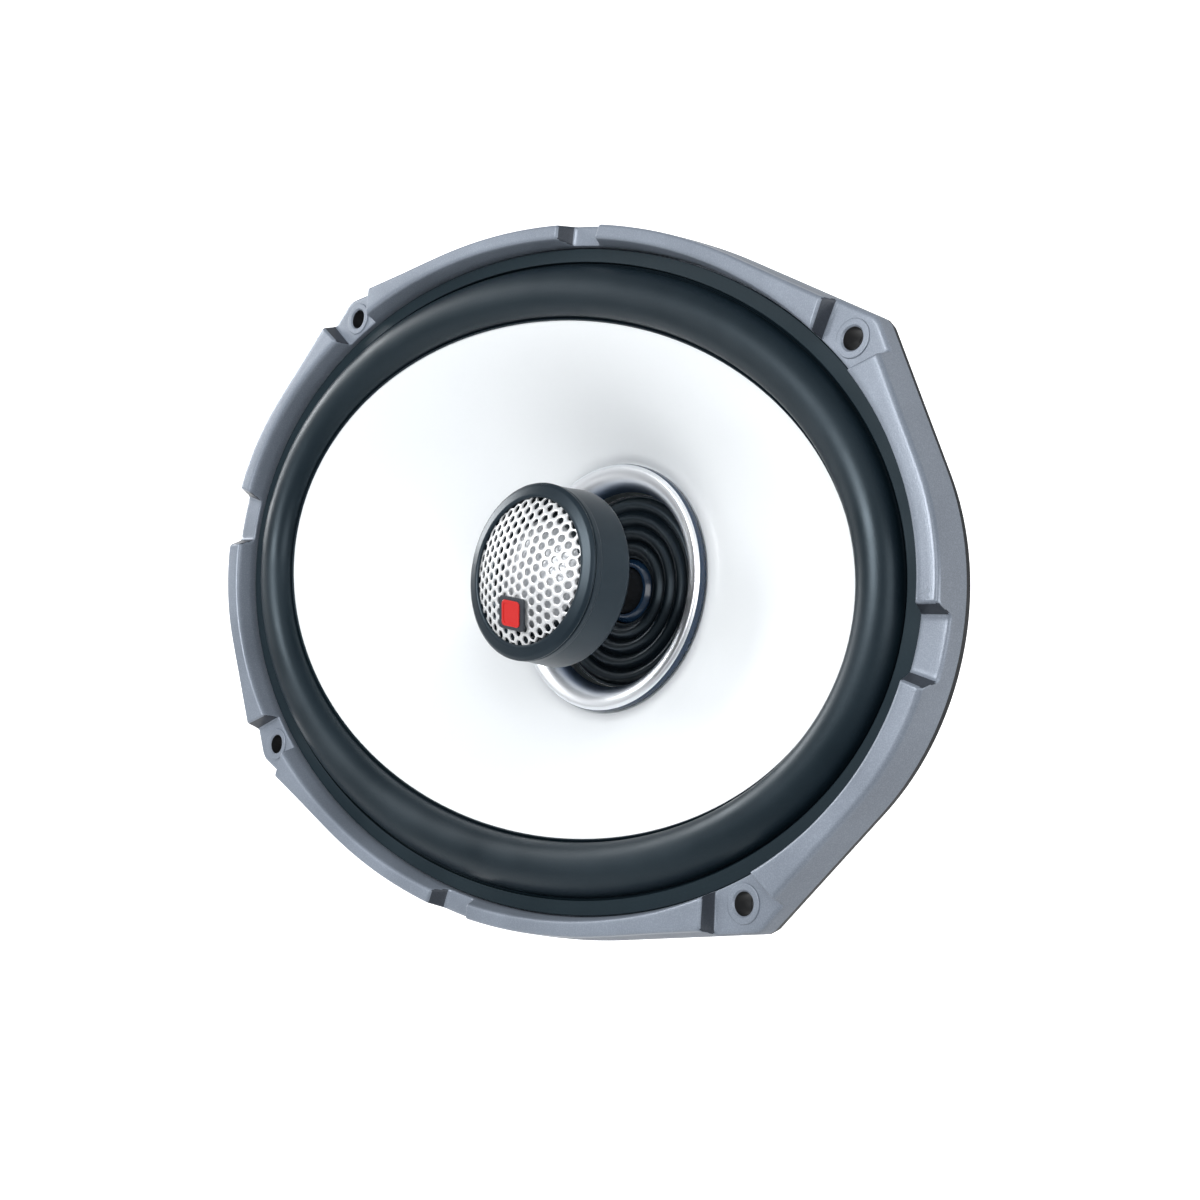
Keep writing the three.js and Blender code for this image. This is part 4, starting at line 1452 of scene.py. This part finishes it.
@dataclass
class TweeterPost:
    """The fixed post that carries the tweeter, with its collar, nut and cable."""

    cable_radius: float = 1.0

    def build(self) -> list[bpy.types.Object]:
        """Returns the post, the collar, the nut and the cable."""
        return [self._post(), self._collar(), self._nut(), self._cable()]

    def _post(self) -> bpy.types.Object:
        """Makes the hollow stepped post.

        Returns:
            The installed post.
        """
        room, cup = Extent.of("tweeter_post"), Extent.of("tweeter_cup")
        pole = Extent.of("back_plate_pole").front
        profile = [(4, room.front), (4, cup.back + 0.3), (room.radius, cup.back + 0.3),
                   (room.radius, pole - 0.3), (3.2, pole - 0.3), (3.2, room.back), (1.6, room.back),
                   (1.6, room.front)]
        return install(Shape.turned("post", profile, 0.4, SMALL_STEPS), BLACK_STEEL_AND_BORE_SHADE, FIXED, "tweeter_post")

    def _collar(self) -> bpy.types.Object:
        """Makes the gloss collar that the dust seal closes on.

        Returns:
            The installed collar.
        """
        room = Extent.of("seal_collar")
        profile = [(room.radius, room.front + 1.6), (room.radius - 1.4, room.front), (5.8, room.front),
                   (5.8, room.back), (room.radius, room.back)]
        return install(Shape.turned("collar", profile, 0.6, 96), GLOSS_BLACK_AND_FLANK_SHADE, FIXED, "seal_collar")

    def _nut(self) -> bpy.types.Object:
        """Makes the hexagonal nut on the post's end.

        Returns:
            The installed nut.
        """
        room = Extent.of("post_nut")
        reach = (room.high.z - room.low.z) / 2
        corners = [math.pi / 3 * k + math.pi / 2 for k in range(6)]
        nut = Shape.prism("hex_nut", [(reach * math.cos(t), reach * math.sin(t)) for t in corners],
                          room.front, room.back, 0.35)
        drill = Shape.turned("drill", [(0, 60), (3.5, 60), (3.5, 90), (0, 90)], 0, 32, closed=False)
        Shape.carve(nut, drill)
        return install(nut, ZINC, FIXED, "post_nut")

    def _cable(self) -> bpy.types.Object:
        """Makes the two-core cable that runs through the post and over the motor.

        Returns:
            The installed cable.
        """
        route = [
            (0, 5.3, 0), (0, 30, 0), (0, 55, 0), (0, 74, 0), (0, 78.4, -0.8), (0, 80, -4), (0, 80.1, -12),
            (0, 80.1, -28), (0, 80.1, -44), (0, 78.6, -50.6), (0, 75, -52.3), (0, 66, -52.4), (0, 56, -52.6),
            (0, 50, -54), (0, 47.6, -55.6),
        ]
        twin = Shape.strand("twin_cable", route, self._cores, 160, 20)
        return install(twin, SHEATH, FIXED, "tweeter_cable")

    def _cores(self, turn: float, gone: float) -> float:
        """Returns the cable's radius, pinched between its two cores all along."""
        return self.cable_radius * (0.82 + 0.18 * math.cos(2 * turn))


# ------------------------------------------------------------------ tweeter


@dataclass
class Dish:
    """A shallow spherical cap, such as the guard or the dome."""

    radius: float
    apex: float
    edge: float

    def depth(self, reach: float) -> float:
        """Finds the cap's depth at a distance from the axis.

        Args:
            reach: the distance.

        Returns:
            The depth.
        """
        rise = self.edge - self.apex
        sphere = (self.radius ** 2 + rise ** 2) / (2 * rise)
        return self.apex + sphere - math.sqrt(sphere ** 2 - reach ** 2)


@dataclass
class PerforatedGuard:
    """Domed sheet with softly six-sided holes in a close-packed pattern."""

    dish: Dish
    pitch: float = 2.57
    hole: float = 0.86
    shift: Pair = (-0.75, -0.3)  # of the pattern from the axis
    sheet: float = 0.5
    reach: float = 17.7
    sides: int = 12  # points round a hole

    def centres(self) -> list[Pair]:
        """Lays out the holes.

        Returns:
            The centre of each hole, as X and Z.
        """
        across = self.pitch * math.sqrt(3) / 2
        columns = int(self.reach / across) + 1
        rows = int(self.reach / self.pitch) + 2
        made = []
        for i in range(-columns, columns + 1):
            for j in range(-rows, rows + 1):
                x = i * across + self.shift[0]
                z = (j + 0.5 * (i % 2)) * self.pitch + self.shift[1]
                if math.hypot(x, z) <= self.reach:
                    made.append((x, z))
        return made

    def build(self) -> bpy.types.Object:
        """Makes the guard as one sheet with softened hole edges.

        Returns:
            The guard, with no finish yet.
        """
        work = bmesh.new()
        shared: dict[tuple[int, int], tuple[bmesh.types.BMVert, bmesh.types.BMVert]] = {}
        rims: dict[frozenset, list] = {}
        for cx, cz in self.centres():
            corners = []
            for k in range(self.sides):
                turn = 2 * math.pi / self.sides * k
                reach = self.pitch / (math.sqrt(3) if k % 2 == 0 else 2)
                x, z = cx + reach * math.cos(turn), cz + reach * math.sin(turn)
                key = (round(x * 200), round(z * 200))
                if key not in shared:
                    shared[key] = (self._vertex(work, x, z, 0), self._vertex(work, x, z, self.sheet))
                corners.append((key, shared[key]))
            rings = []
            for widen, depth in ((0.1, 0.0), (0.02, 0.07), (0.0, self.sheet * 0.5), (0.03, self.sheet)):
                ring = []
                for k in range(self.sides):
                    turn = 2 * math.pi / self.sides * k
                    radius = self.hole * (1.04 if k % 2 == 0 else 0.97) + widen
                    x, z = cx + radius * math.cos(turn), cz + radius * math.sin(turn)
                    ring.append(self._vertex(work, x, z, depth))
                rings.append(ring)
            loops = [[pair[0] for _, pair in corners], *rings, [pair[1] for _, pair in corners]]
            for here, there in zip(loops, loops[1:]):
                for k in range(self.sides):
                    m = (k + 1) % self.sides
                    work.faces.new((here[k], here[m], there[m], there[k]))
            for k in range(self.sides):
                first, second = corners[k], corners[(k + 1) % self.sides]
                rims.setdefault(frozenset((first[0], second[0])), []).append((first[1], second[1]))
        for uses in rims.values():
            if len(uses) == 1:
                (a, c), (b, d) = uses[0]
                work.faces.new((a, b, d, c))
        return Shape.finish_mesh("guard", work, 60)

    def _vertex(self, work: bmesh.types.BMesh, x: float, z: float, depth: float) -> bmesh.types.BMVert:
        """Returns a new vertex on the dish, sunk by a depth."""
        return work.verts.new(Vector((x, self.dish.depth(math.hypot(x, z)) + depth, z)) * MM)


@dataclass
class Tweeter:
    """Dome tweeter in its cup, behind a perforated guard with a small plain badge."""

    badge_tilt: float = math.radians(14.1)
    badge_drop: float = 10.2  # below the axis
    wall: float = 1.4
    face_bore: float = 15.2
    motor_bore: float = 2.0
    dish: Dish = field(init=False)  # the guard's form, from the frame

    def __post_init__(self) -> None:
        """Takes the guard's form from the frame."""
        guard = Extent.of("tweeter_mesh")
        self.dish = Dish(guard.radius, guard.front, guard.back - 0.5)

    def build(self) -> list[bpy.types.Object]:
        """Makes every piece of the tweeter.

        Returns:
            The installed pieces.
        """
        sheet = install(PerforatedGuard(self.dish).build(), MESH_PAINT, FIXED, "tweeter_mesh")
        shell = [self._cup(), self._bezel(), sheet, *self._badge()]
        return [*shell, self._face_plate(), *self._dome(), *self._motor()]

    def _cup(self) -> bpy.types.Object:
        """Makes the moulded cup, a little wider at the back, with a faint step behind its front.

        Returns:
            The installed cup.
        """
        room = Extent.of("tweeter_cup")
        front, back, wide = room.front, room.back, room.radius
        narrow = Extent.of("tweeter_bezel").radius - 0.06
        profile = [(narrow, front), (narrow, front + 1.6), (narrow - 0.15, front + 1.75), (wide, back - 1.2),
                   (wide - 1.1, back), (4.3, back), (4.3, back - 1.6), (wide - 0.4 - self.wall, back - 1.6),
                   (narrow - self.wall, front)]
        return install(Shape.turned("cup", profile, 0.5), PLASTIC, FIXED, "tweeter_cup")

    def _bezel(self) -> bpy.types.Object:
        """Makes the front ring with its sloping face and softened inner edge.

        Returns:
            The installed bezel.
        """
        room = Extent.of("tweeter_bezel")
        r, front, back = room.radius, room.front, room.back
        inner = Extent.of("tweeter_mesh").radius + 0.3
        profile = [(r, front + 1.15), (r, back), (inner, back), (inner, front + 0.1),
                   (inner + 0.7, front - 0.02), (r - 0.75, front + 0.55)]
        return install(Shape.turned("bezel", profile, 0.35), PLASTIC, FIXED, "tweeter_bezel")

    @staticmethod
    def _rounded_box(width: float, height: float, radius: float) -> list[Pair]:
        """Lays out a rectangle with round corners.

        Args:
            width: its width.
            height: its height.
            radius: of its corners.

        Returns:
            The outline's points.
        """
        points = []
        for quarter, (sx, sz) in enumerate(((1, 1), (-1, 1), (-1, -1), (1, -1))):
            for i in range(6):
                turn = (quarter + i / 5) * math.pi / 2
                points.append((sx * (width / 2 - radius) + radius * math.cos(turn),
                               sz * (height / 2 - radius) + radius * math.sin(turn)))
        return points

    def _badge(self) -> list[bpy.types.Object]:
        """Makes the dark plate and its plain enamel inlay, with a raised border.

        Returns:
            The two installed pieces.
        """
        room = Extent.of("badge_plate")
        tilt = Matrix.Rotation(self.badge_tilt, 4, "X")
        x, z = room.middle.x, -self.badge_drop
        depth = self.dish.depth(self.badge_drop) - 0.05
        made = []
        for name, size, radius, front, back, finish, node in (
            ("badge_base", (8.5, 7.7), 0.9, -0.85, -0.1, BADGE_DARK, "badge_plate"),
            ("badge_enamel", (6.1, 6.1), 1.0, -1.15, -0.8, RED_ENAMEL, "badge_inlay"),
        ):
            piece = Shape.prism(name, self._rounded_box(*size, radius), front, back, 0.18)
            if finish is RED_ENAMEL:
                recess = Shape.prism("recess", self._rounded_box(4.7, 4.7, 0.7), front - 1, front + 0.1, 0)
                Shape.carve(piece, recess)
            Shape.shift(piece, x, depth, z, tilt)
            made.append(install(piece, finish, FIXED, node))
        return made

    def _face_plate(self) -> bpy.types.Object:
        """Makes the dark plate round the dome.

        Returns:
            The installed plate.
        """
        room = Extent.of("tweeter_face_plate")
        profile = [(room.radius, room.front), (room.radius, room.back), (self.face_bore, room.back),
                   (self.face_bore, room.front + 0.7), (self.face_bore + 1.8, room.front)]
        return install(Shape.turned("face_plate", profile, 0.3, 96), PLASTIC, FIXED, "tweeter_face_plate")

    def _dome(self) -> list[bpy.types.Object]:
        """Makes the dome, its flexible surround and its coil.

        Returns:
            The three installed pieces.
        """
        room = Extent.of("tweeter_dome")
        dish = Dish(room.radius, room.front, room.back - 0.3)
        steps = 24
        front = [(dish.radius * i / steps, dish.depth(dish.radius * i / steps)) for i in range(steps + 1)]
        back = [(r, y + 0.25) for r, y in reversed(front)]
        dome = Shape.turned("dome", [*front, *back], 0, 128, closed=False)
        install(dome, DOME_FILM, DIAPHRAGM, "tweeter_dome")
        ring = Extent.of("tweeter_dome_surround")
        across = [i / 12 for i in range(13)]
        outer, inner = ring.radius, dish.radius + 0.05
        crest = [(outer + (inner - outer) * t, -1.25 - 0.75 * math.sin(math.pi * t), t) for t in across]
        whole = crest + [(r, y + 0.2, t) for r, y, t in reversed(crest)]
        roll = Shape.oval("dome_roll", [(r, r, y) for r, y, _ in whole], 96, sharp=60)
        install_flexible(roll, SEAL_CLOTH, (FIXED, DIAPHRAGM), "tweeter_dome_surround")
        coil = Extent.of("tweeter_coil")
        wound = [(coil.radius, coil.front), (coil.radius, coil.back), (coil.radius - 0.5, coil.back),
                 (coil.radius - 0.5, coil.front)]
        winding = install(Shape.turned("dome_coil", wound, 0.1, 96), COPPER, DIAPHRAGM, "tweeter_coil")
        return [dome, roll, winding]

    def _motor(self) -> list[bpy.types.Object]:
        """Makes the tweeter's yoke, magnet and pole disc.

        Returns:
            The three installed pieces.
        """
        yoke = Extent.of("tweeter_yoke")
        bore, base = self.motor_bore, yoke.back - 1.3
        profile = [(yoke.radius, yoke.front), (yoke.radius, yoke.back), (bore, yoke.back), (bore, base),
                   (13.1, base), (13.1, yoke.front)]
        made = [install(Shape.turned("yoke_cup", profile, 0.3, 96), ZINC, FIXED, "tweeter_yoke")]
        for name, node, finish in (("disc_magnet", "tweeter_magnet", FERRITE),
                                   ("pole_disc", "tweeter_pole_disc", ZINC)):
            room = Extent.of(node)
            ring = [(room.radius, room.front), (room.radius, room.back),
                    (bore, room.back), (bore, room.front)]
            made.append(install(Shape.turned(name, ring, 0.2, 96), finish, FIXED, node))
        return made


# ------------------------------------------------------------------ terminals


@dataclass
class Terminals:
    """Terminal block with its two tabs, rivets, crossover capacitor and braided leads."""

    tab_x: float = 11.5
    mark_z: float = -60.4  # of the polarity marks
    lead_radius: float = 0.7

    def build(self) -> list[bpy.types.Object]:
        """Returns every piece of the terminals."""
        return [self._block(), *self._tabs(), *self._rivets(), self._capacitor(), *self._leads()]

    def _block(self) -> bpy.types.Object:
        """Makes the moulded block with raised polarity marks.

        Returns:
            The installed block.
        """
        room = Extent.of("terminal_block")
        left, right, bottom, top = room.low.x, room.high.x, room.low.z, room.high.z
        corners = [(left, bottom), (right, bottom), (right, top - 3), (right - 3, top), (left + 3, top),
                   (left, top - 3)]
        body = Shape.prism("block", corners, room.front, room.back, 0.5)
        marks = [(self.tab_x, 3.4, 0.7), (self.tab_x, 0.7, 3.4), (-self.tab_x, 3.4, 0.7)]
        for x, width, height in marks:
            z = self.mark_z
            bar = [(x - width / 2, z - height / 2), (x + width / 2, z - height / 2),
                   (x + width / 2, z + height / 2), (x - width / 2, z + height / 2)]
            Shape.carve(body, Shape.prism("mark", bar, room.back - 1, room.back + 0.3, 0), join=True)
        return install(body, PLASTIC, FIXED, "terminal_block")

    def _tabs(self) -> list[bpy.types.Object]:
        """Makes the wide positive and the narrow negative tab, with tapered tips and holes.

        Returns:
            The two installed tabs.
        """
        made = []
        for label in ("positive", "negative"):
            room = Extent.of(f"{label}_tab")
            x0, x1, y0, y1 = room.low.x, room.high.x, room.front, room.back
            flat = [(x0, y0), (x1, y0), (x1, y1 - 2.2), (x1 - 1.1, y1), (x0 + 1.1, y1), (x0, y1 - 2.2)]
            thick = room.high.z - room.low.z
            tab = Shape.prism(f"{label}_blade", flat, -thick / 2, thick / 2, 0.12)
            tab.data.transform(Matrix(((1, 0, 0, 0), (0, 0, 1, 0), (0, -1, 0, 0), (0, 0, 0, 1))))
            drill = Shape.turned("drill", [(0, -3), (0.9, -3), (0.9, 3), (0, 3)], 0, 32, closed=False)
            drill.data.transform(Matrix.Rotation(math.pi / 2, 4, "X"))
            Shape.shift(drill, room.middle.x, y1 - 3.5, 0)
            Shape.carve(tab, drill)
            Shape.shift(tab, 0, 0, room.middle.z)
            made.append(install(tab, TIN_AND_LIP_HIGHLIGHT, FIXED, f"{label}_tab"))
        return made

    def _rivets(self) -> list[bpy.types.Object]:
        """Makes the two rivets that hold the block.

        Returns:
            The installed rivets.
        """
        made = []
        for side in ("left", "right"):
            room = Extent.of(f"terminal_rivet_{side}")
            head = (room.high.x - room.low.x) / 2
            block = Extent.of("terminal_block").back
            front, back, seat = room.front, room.back, block + 0.3
            profile = [(0, front), (head * 0.8, front), (head, front + 0.5), (head, front + 1.0),
                       (1.4, front + 1.0), (1.4, seat), (head, seat), (head * 0.75, back), (0.5, back),
                       (0, back - 0.4)]
            rivet = Shape.turned(f"block_rivet_{side}", profile, 0.2, 32, closed=False)
            Shape.shift(rivet, room.middle.x, 0, room.middle.z)
            made.append(install(rivet, ZINC, FIXED, f"terminal_rivet_{side}"))
        return made

    def _capacitor(self) -> bpy.types.Object:
        """Makes the crossover capacitor with its rolled end groove.

        Returns:
            The installed capacitor.
        """
        room = Extent.of("crossover_capacitor")
        half, r = (room.high.x - room.low.x) / 2, (room.high.z - room.low.z) / 2
        profile = [(0, -half), (r - 0.8, -half), (r, -half + 0.6), (r, half - 2.4), (r - 0.45, half - 2.0),
                   (r, half - 1.6), (r, half - 0.6), (r - 0.8, half), (0, half)]
        can = Shape.turned("capacitor_can", profile, 0.3, 48, closed=False)
        can.data.transform(Matrix.Rotation(-math.pi / 2, 4, "Z"))
        Shape.shift(can, room.middle.x, room.middle.y, room.middle.z)
        return install(can, SLEEVE, FIXED, "crossover_capacitor")

    def _leads(self) -> list[bpy.types.Object]:
        """Makes the two braided leads from the cone to the tabs.

        Returns:
            The two installed leads.
        """
        made = []
        for label, x in (("positive", self.tab_x), ("negative", -self.tab_x)):
            route = [(0.8 * x, 26.3, -29.5), (0.85 * x, 30.2, -34), (0.9 * x, 33, -44), (0.95 * x, 30.5, -54),
                     (x, 30.8, -61), (x, 37.5, -66)]
            steps, sides = 140, 16
            lead = Shape.strand(f"braided_lead_{label}", route, self._braid, steps, sides)
            made.append(install_flexible(lead, BRAID, (FIXED, MOVING), f"tinsel_lead_{label}"))
        return made

    def _braid(self, turn: float, gone: float) -> float:
        """Returns the lead's radius, with two strands twisted round each other."""
        return self.lead_radius * (0.86 + 0.14 * math.cos(3 * turn - 2.4 * gone))


# ------------------------------------------------------------------ studio


@dataclass(frozen=True)
class Lamp:
    """A square area light that faces the speaker."""

    name: str
    place: Triple
    size: float
    power: float

    def build(self) -> None:
        """Makes the light."""
        data = bpy.data.lights.new(self.name, "AREA")
        data.shape = "SQUARE"
        data.size = self.size
        data.energy = self.power
        light = bpy.data.objects.new(self.name, data)
        bpy.context.scene.collection.objects.link(light)
        light.location = self.place
        light.rotation_mode = "QUATERNION"
        light.rotation_quaternion = (-Vector(self.place)).to_track_quat("-Z", "Y")


@dataclass
class Studio:
    """Camera, soft lights and a pale seamless floor."""

    yaw: float = math.radians(-45.297)
    pitch: float = math.radians(0.147)
    roll: float = math.radians(-10.905)
    distance: float = 0.413442
    aside: Pair = (-0.017618, 0.006916)
    lens: float = 53.62
    sensor: float = 36.0
    floor_drop: float = 0.6
    backdrop: float = 2.2  # distance from the speaker to the backdrop
    bend: float = 1.0  # radius of the floor's curve up into the backdrop
    wall: float = 3.5  # height of the backdrop
    near: float = -0.35  # where the floor starts
    half_width: float = 6.0
    sky: tuple[Triple, Triple] = ((0.88, 0.92, 0.96), (0.90, 0.95, 1.0))  # from below and from above
    sky_strength: float = 0.36
    glow: Pair = (1.1, 0.12)  # of the backdrop, near its middle and away from it
    glow_reach: Pair = (1.35, 2.3)
    lamps: tuple[Lamp, ...] = (
        Lamp("key_box", (-0.31, -1.2, 0.27), 0.5, 10.6),
        Lamp("overhead", (0.25, -0.95, 0.75), 0.9, 1.4),
        Lamp("front_fill", (1.05, -0.7, 0.3), 0.8, 5.6),
        Lamp("right_edge", (1.2, 0.45, 0.2), 0.5, 4.8),
        Lamp("left_edge", (-1.1, -0.25, 0.2), 0.35, 4.2),
    )

    def build(self) -> None:
        """Makes the camera, the lights, the world and the floor."""
        self._camera()
        self._world()
        for lamp in self.lamps:
            lamp.build()
        self._floor()

    def _camera(self) -> None:
        """Places the camera off the front right, level with the axis and rolled."""
        look = (Matrix.Rotation(self.roll, 3, "Z") @ Matrix.Rotation(self.pitch, 3, "X")
                @ Matrix.Rotation(self.yaw, 3, "Y")).transposed()
        front = Matrix(((1, 0, 0), (0, 0, -1), (0, 1, 0)))  # from right, up, forward to X, Y, Z
        seat = front @ look
        data = bpy.data.cameras.new("camera")
        data.lens = self.lens
        data.sensor_width = self.sensor
        camera = bpy.data.objects.new("camera", data)
        bpy.context.scene.collection.objects.link(camera)
        floor_plane = RIM.floor * MM
        place = seat @ Vector((-self.aside[0], -self.aside[1], self.distance)) + Vector((0, floor_plane, 0))
        camera.matrix_world = Matrix.Translation(place) @ seat.to_4x4()
        bpy.context.scene.camera = camera

    def _world(self) -> None:
        """Makes an even, nearly white surrounding, a little darker from below."""
        world = bpy.data.worlds.new("studio")
        world.use_nodes = True
        nodes, links = world.node_tree.nodes, world.node_tree.links
        back = nodes["Background"]
        coords = nodes.new("ShaderNodeTexCoord")
        split = nodes.new("ShaderNodeSeparateXYZ")
        links.new(coords.outputs["Generated"], split.inputs["Vector"])
        ramp = nodes.new("ShaderNodeValToRGB")
        height = nodes.new("ShaderNodeMapRange")
        height.inputs["From Min"].default_value = -1.0
        height.inputs["From Max"].default_value = 1.0
        links.new(split.outputs["Z"], height.inputs["Value"])
        links.new(height.outputs["Result"], ramp.inputs["Fac"])
        for stop, colour in zip(ramp.color_ramp.elements, self.sky):
            stop.color = (*colour, 1)
        links.new(ramp.outputs["Color"], back.inputs["Color"])
        back.inputs["Strength"].default_value = self.sky_strength
        bpy.context.scene.world = world
        bpy.context.scene.view_settings.view_transform = "Standard"

    def _floor(self) -> None:
        """Makes a wide pale floor that curves up into a backdrop."""
        work = bmesh.new()
        far, radius = self.backdrop, self.bend
        profile = [(self.near, 0.0), (far - radius, 0.0)]
        profile += [(far - radius + radius * math.sin(t), radius - radius * math.cos(t))
                    for t in np.linspace(0.1, math.pi / 2, 16)]
        profile.append((far, self.wall))
        rows = []
        turn = Matrix.Rotation(-self.yaw, 4, "Z")
        for x in (-self.half_width, self.half_width):
            rows.append([work.verts.new(turn @ Vector((x, y, z - self.floor_drop))) for y, z in profile])
        for j in range(len(profile) - 1):
            work.faces.new((rows[0][j], rows[1][j], rows[1][j + 1], rows[0][j + 1]))
        floor = Shape.finish_mesh("studio_floor", work, 60)
        floor.data.materials.append(self._pale_material(turn @ Vector((0, far, 0))))

    def _pale_material(self, centre: Vector) -> bpy.types.Material:
        """Makes the floor's material, glowing where the backdrop has its own lamps.

        Args:
            centre: the middle of the lit part of the backdrop.

        Returns:
            The material.
        """
        pale = bpy.data.materials.new("pale_floor")
        pale.use_nodes = True
        nodes, links = pale.node_tree.nodes, pale.node_tree.links
        shader = nodes["Principled BSDF"]
        shader.inputs["Base Color"].default_value = (0.7, 0.7, 0.7, 1)
        shader.inputs["Roughness"].default_value = 0.9
        shader.inputs["Emission Color"].default_value = (1, 1, 1, 1)
        coords = nodes.new("ShaderNodeTexCoord")
        away = nodes.new("ShaderNodeVectorMath")
        away.operation = "DISTANCE"
        away.inputs[1].default_value = centre
        links.new(coords.outputs["Object"], away.inputs[0])
        fall = nodes.new("ShaderNodeMapRange")
        fall.interpolation_type = "SMOOTHSTEP"
        fall.inputs["From Min"].default_value, fall.inputs["From Max"].default_value = self.glow_reach
        fall.inputs["To Min"].default_value, fall.inputs["To Max"].default_value = self.glow
        links.new(away.outputs["Value"], fall.inputs["Value"])
        links.new(fall.outputs["Result"], shader.inputs["Emission Strength"])
        return pale


# ------------------------------------------------------------------ main

RIM = MountingRim()  # its floor and its holes place the camera and the flange's holes


def main() -> None:
    """Builds the studio and every sub-assembly, logging each one as done."""
    logging.basicConfig(level=logging.INFO, format="%(name)s: %(message)s")
    Studio().build()
    for assembly in (RIM, Basket(), Suspension(), ConeAssembly(), Motor(), TweeterPost(), Tweeter(),
                     Terminals()):
        assembly.build()
        log.info("%s done", type(assembly).__name__)
    bpy.context.view_layer.update()


if __name__ == "__main__":
    main()
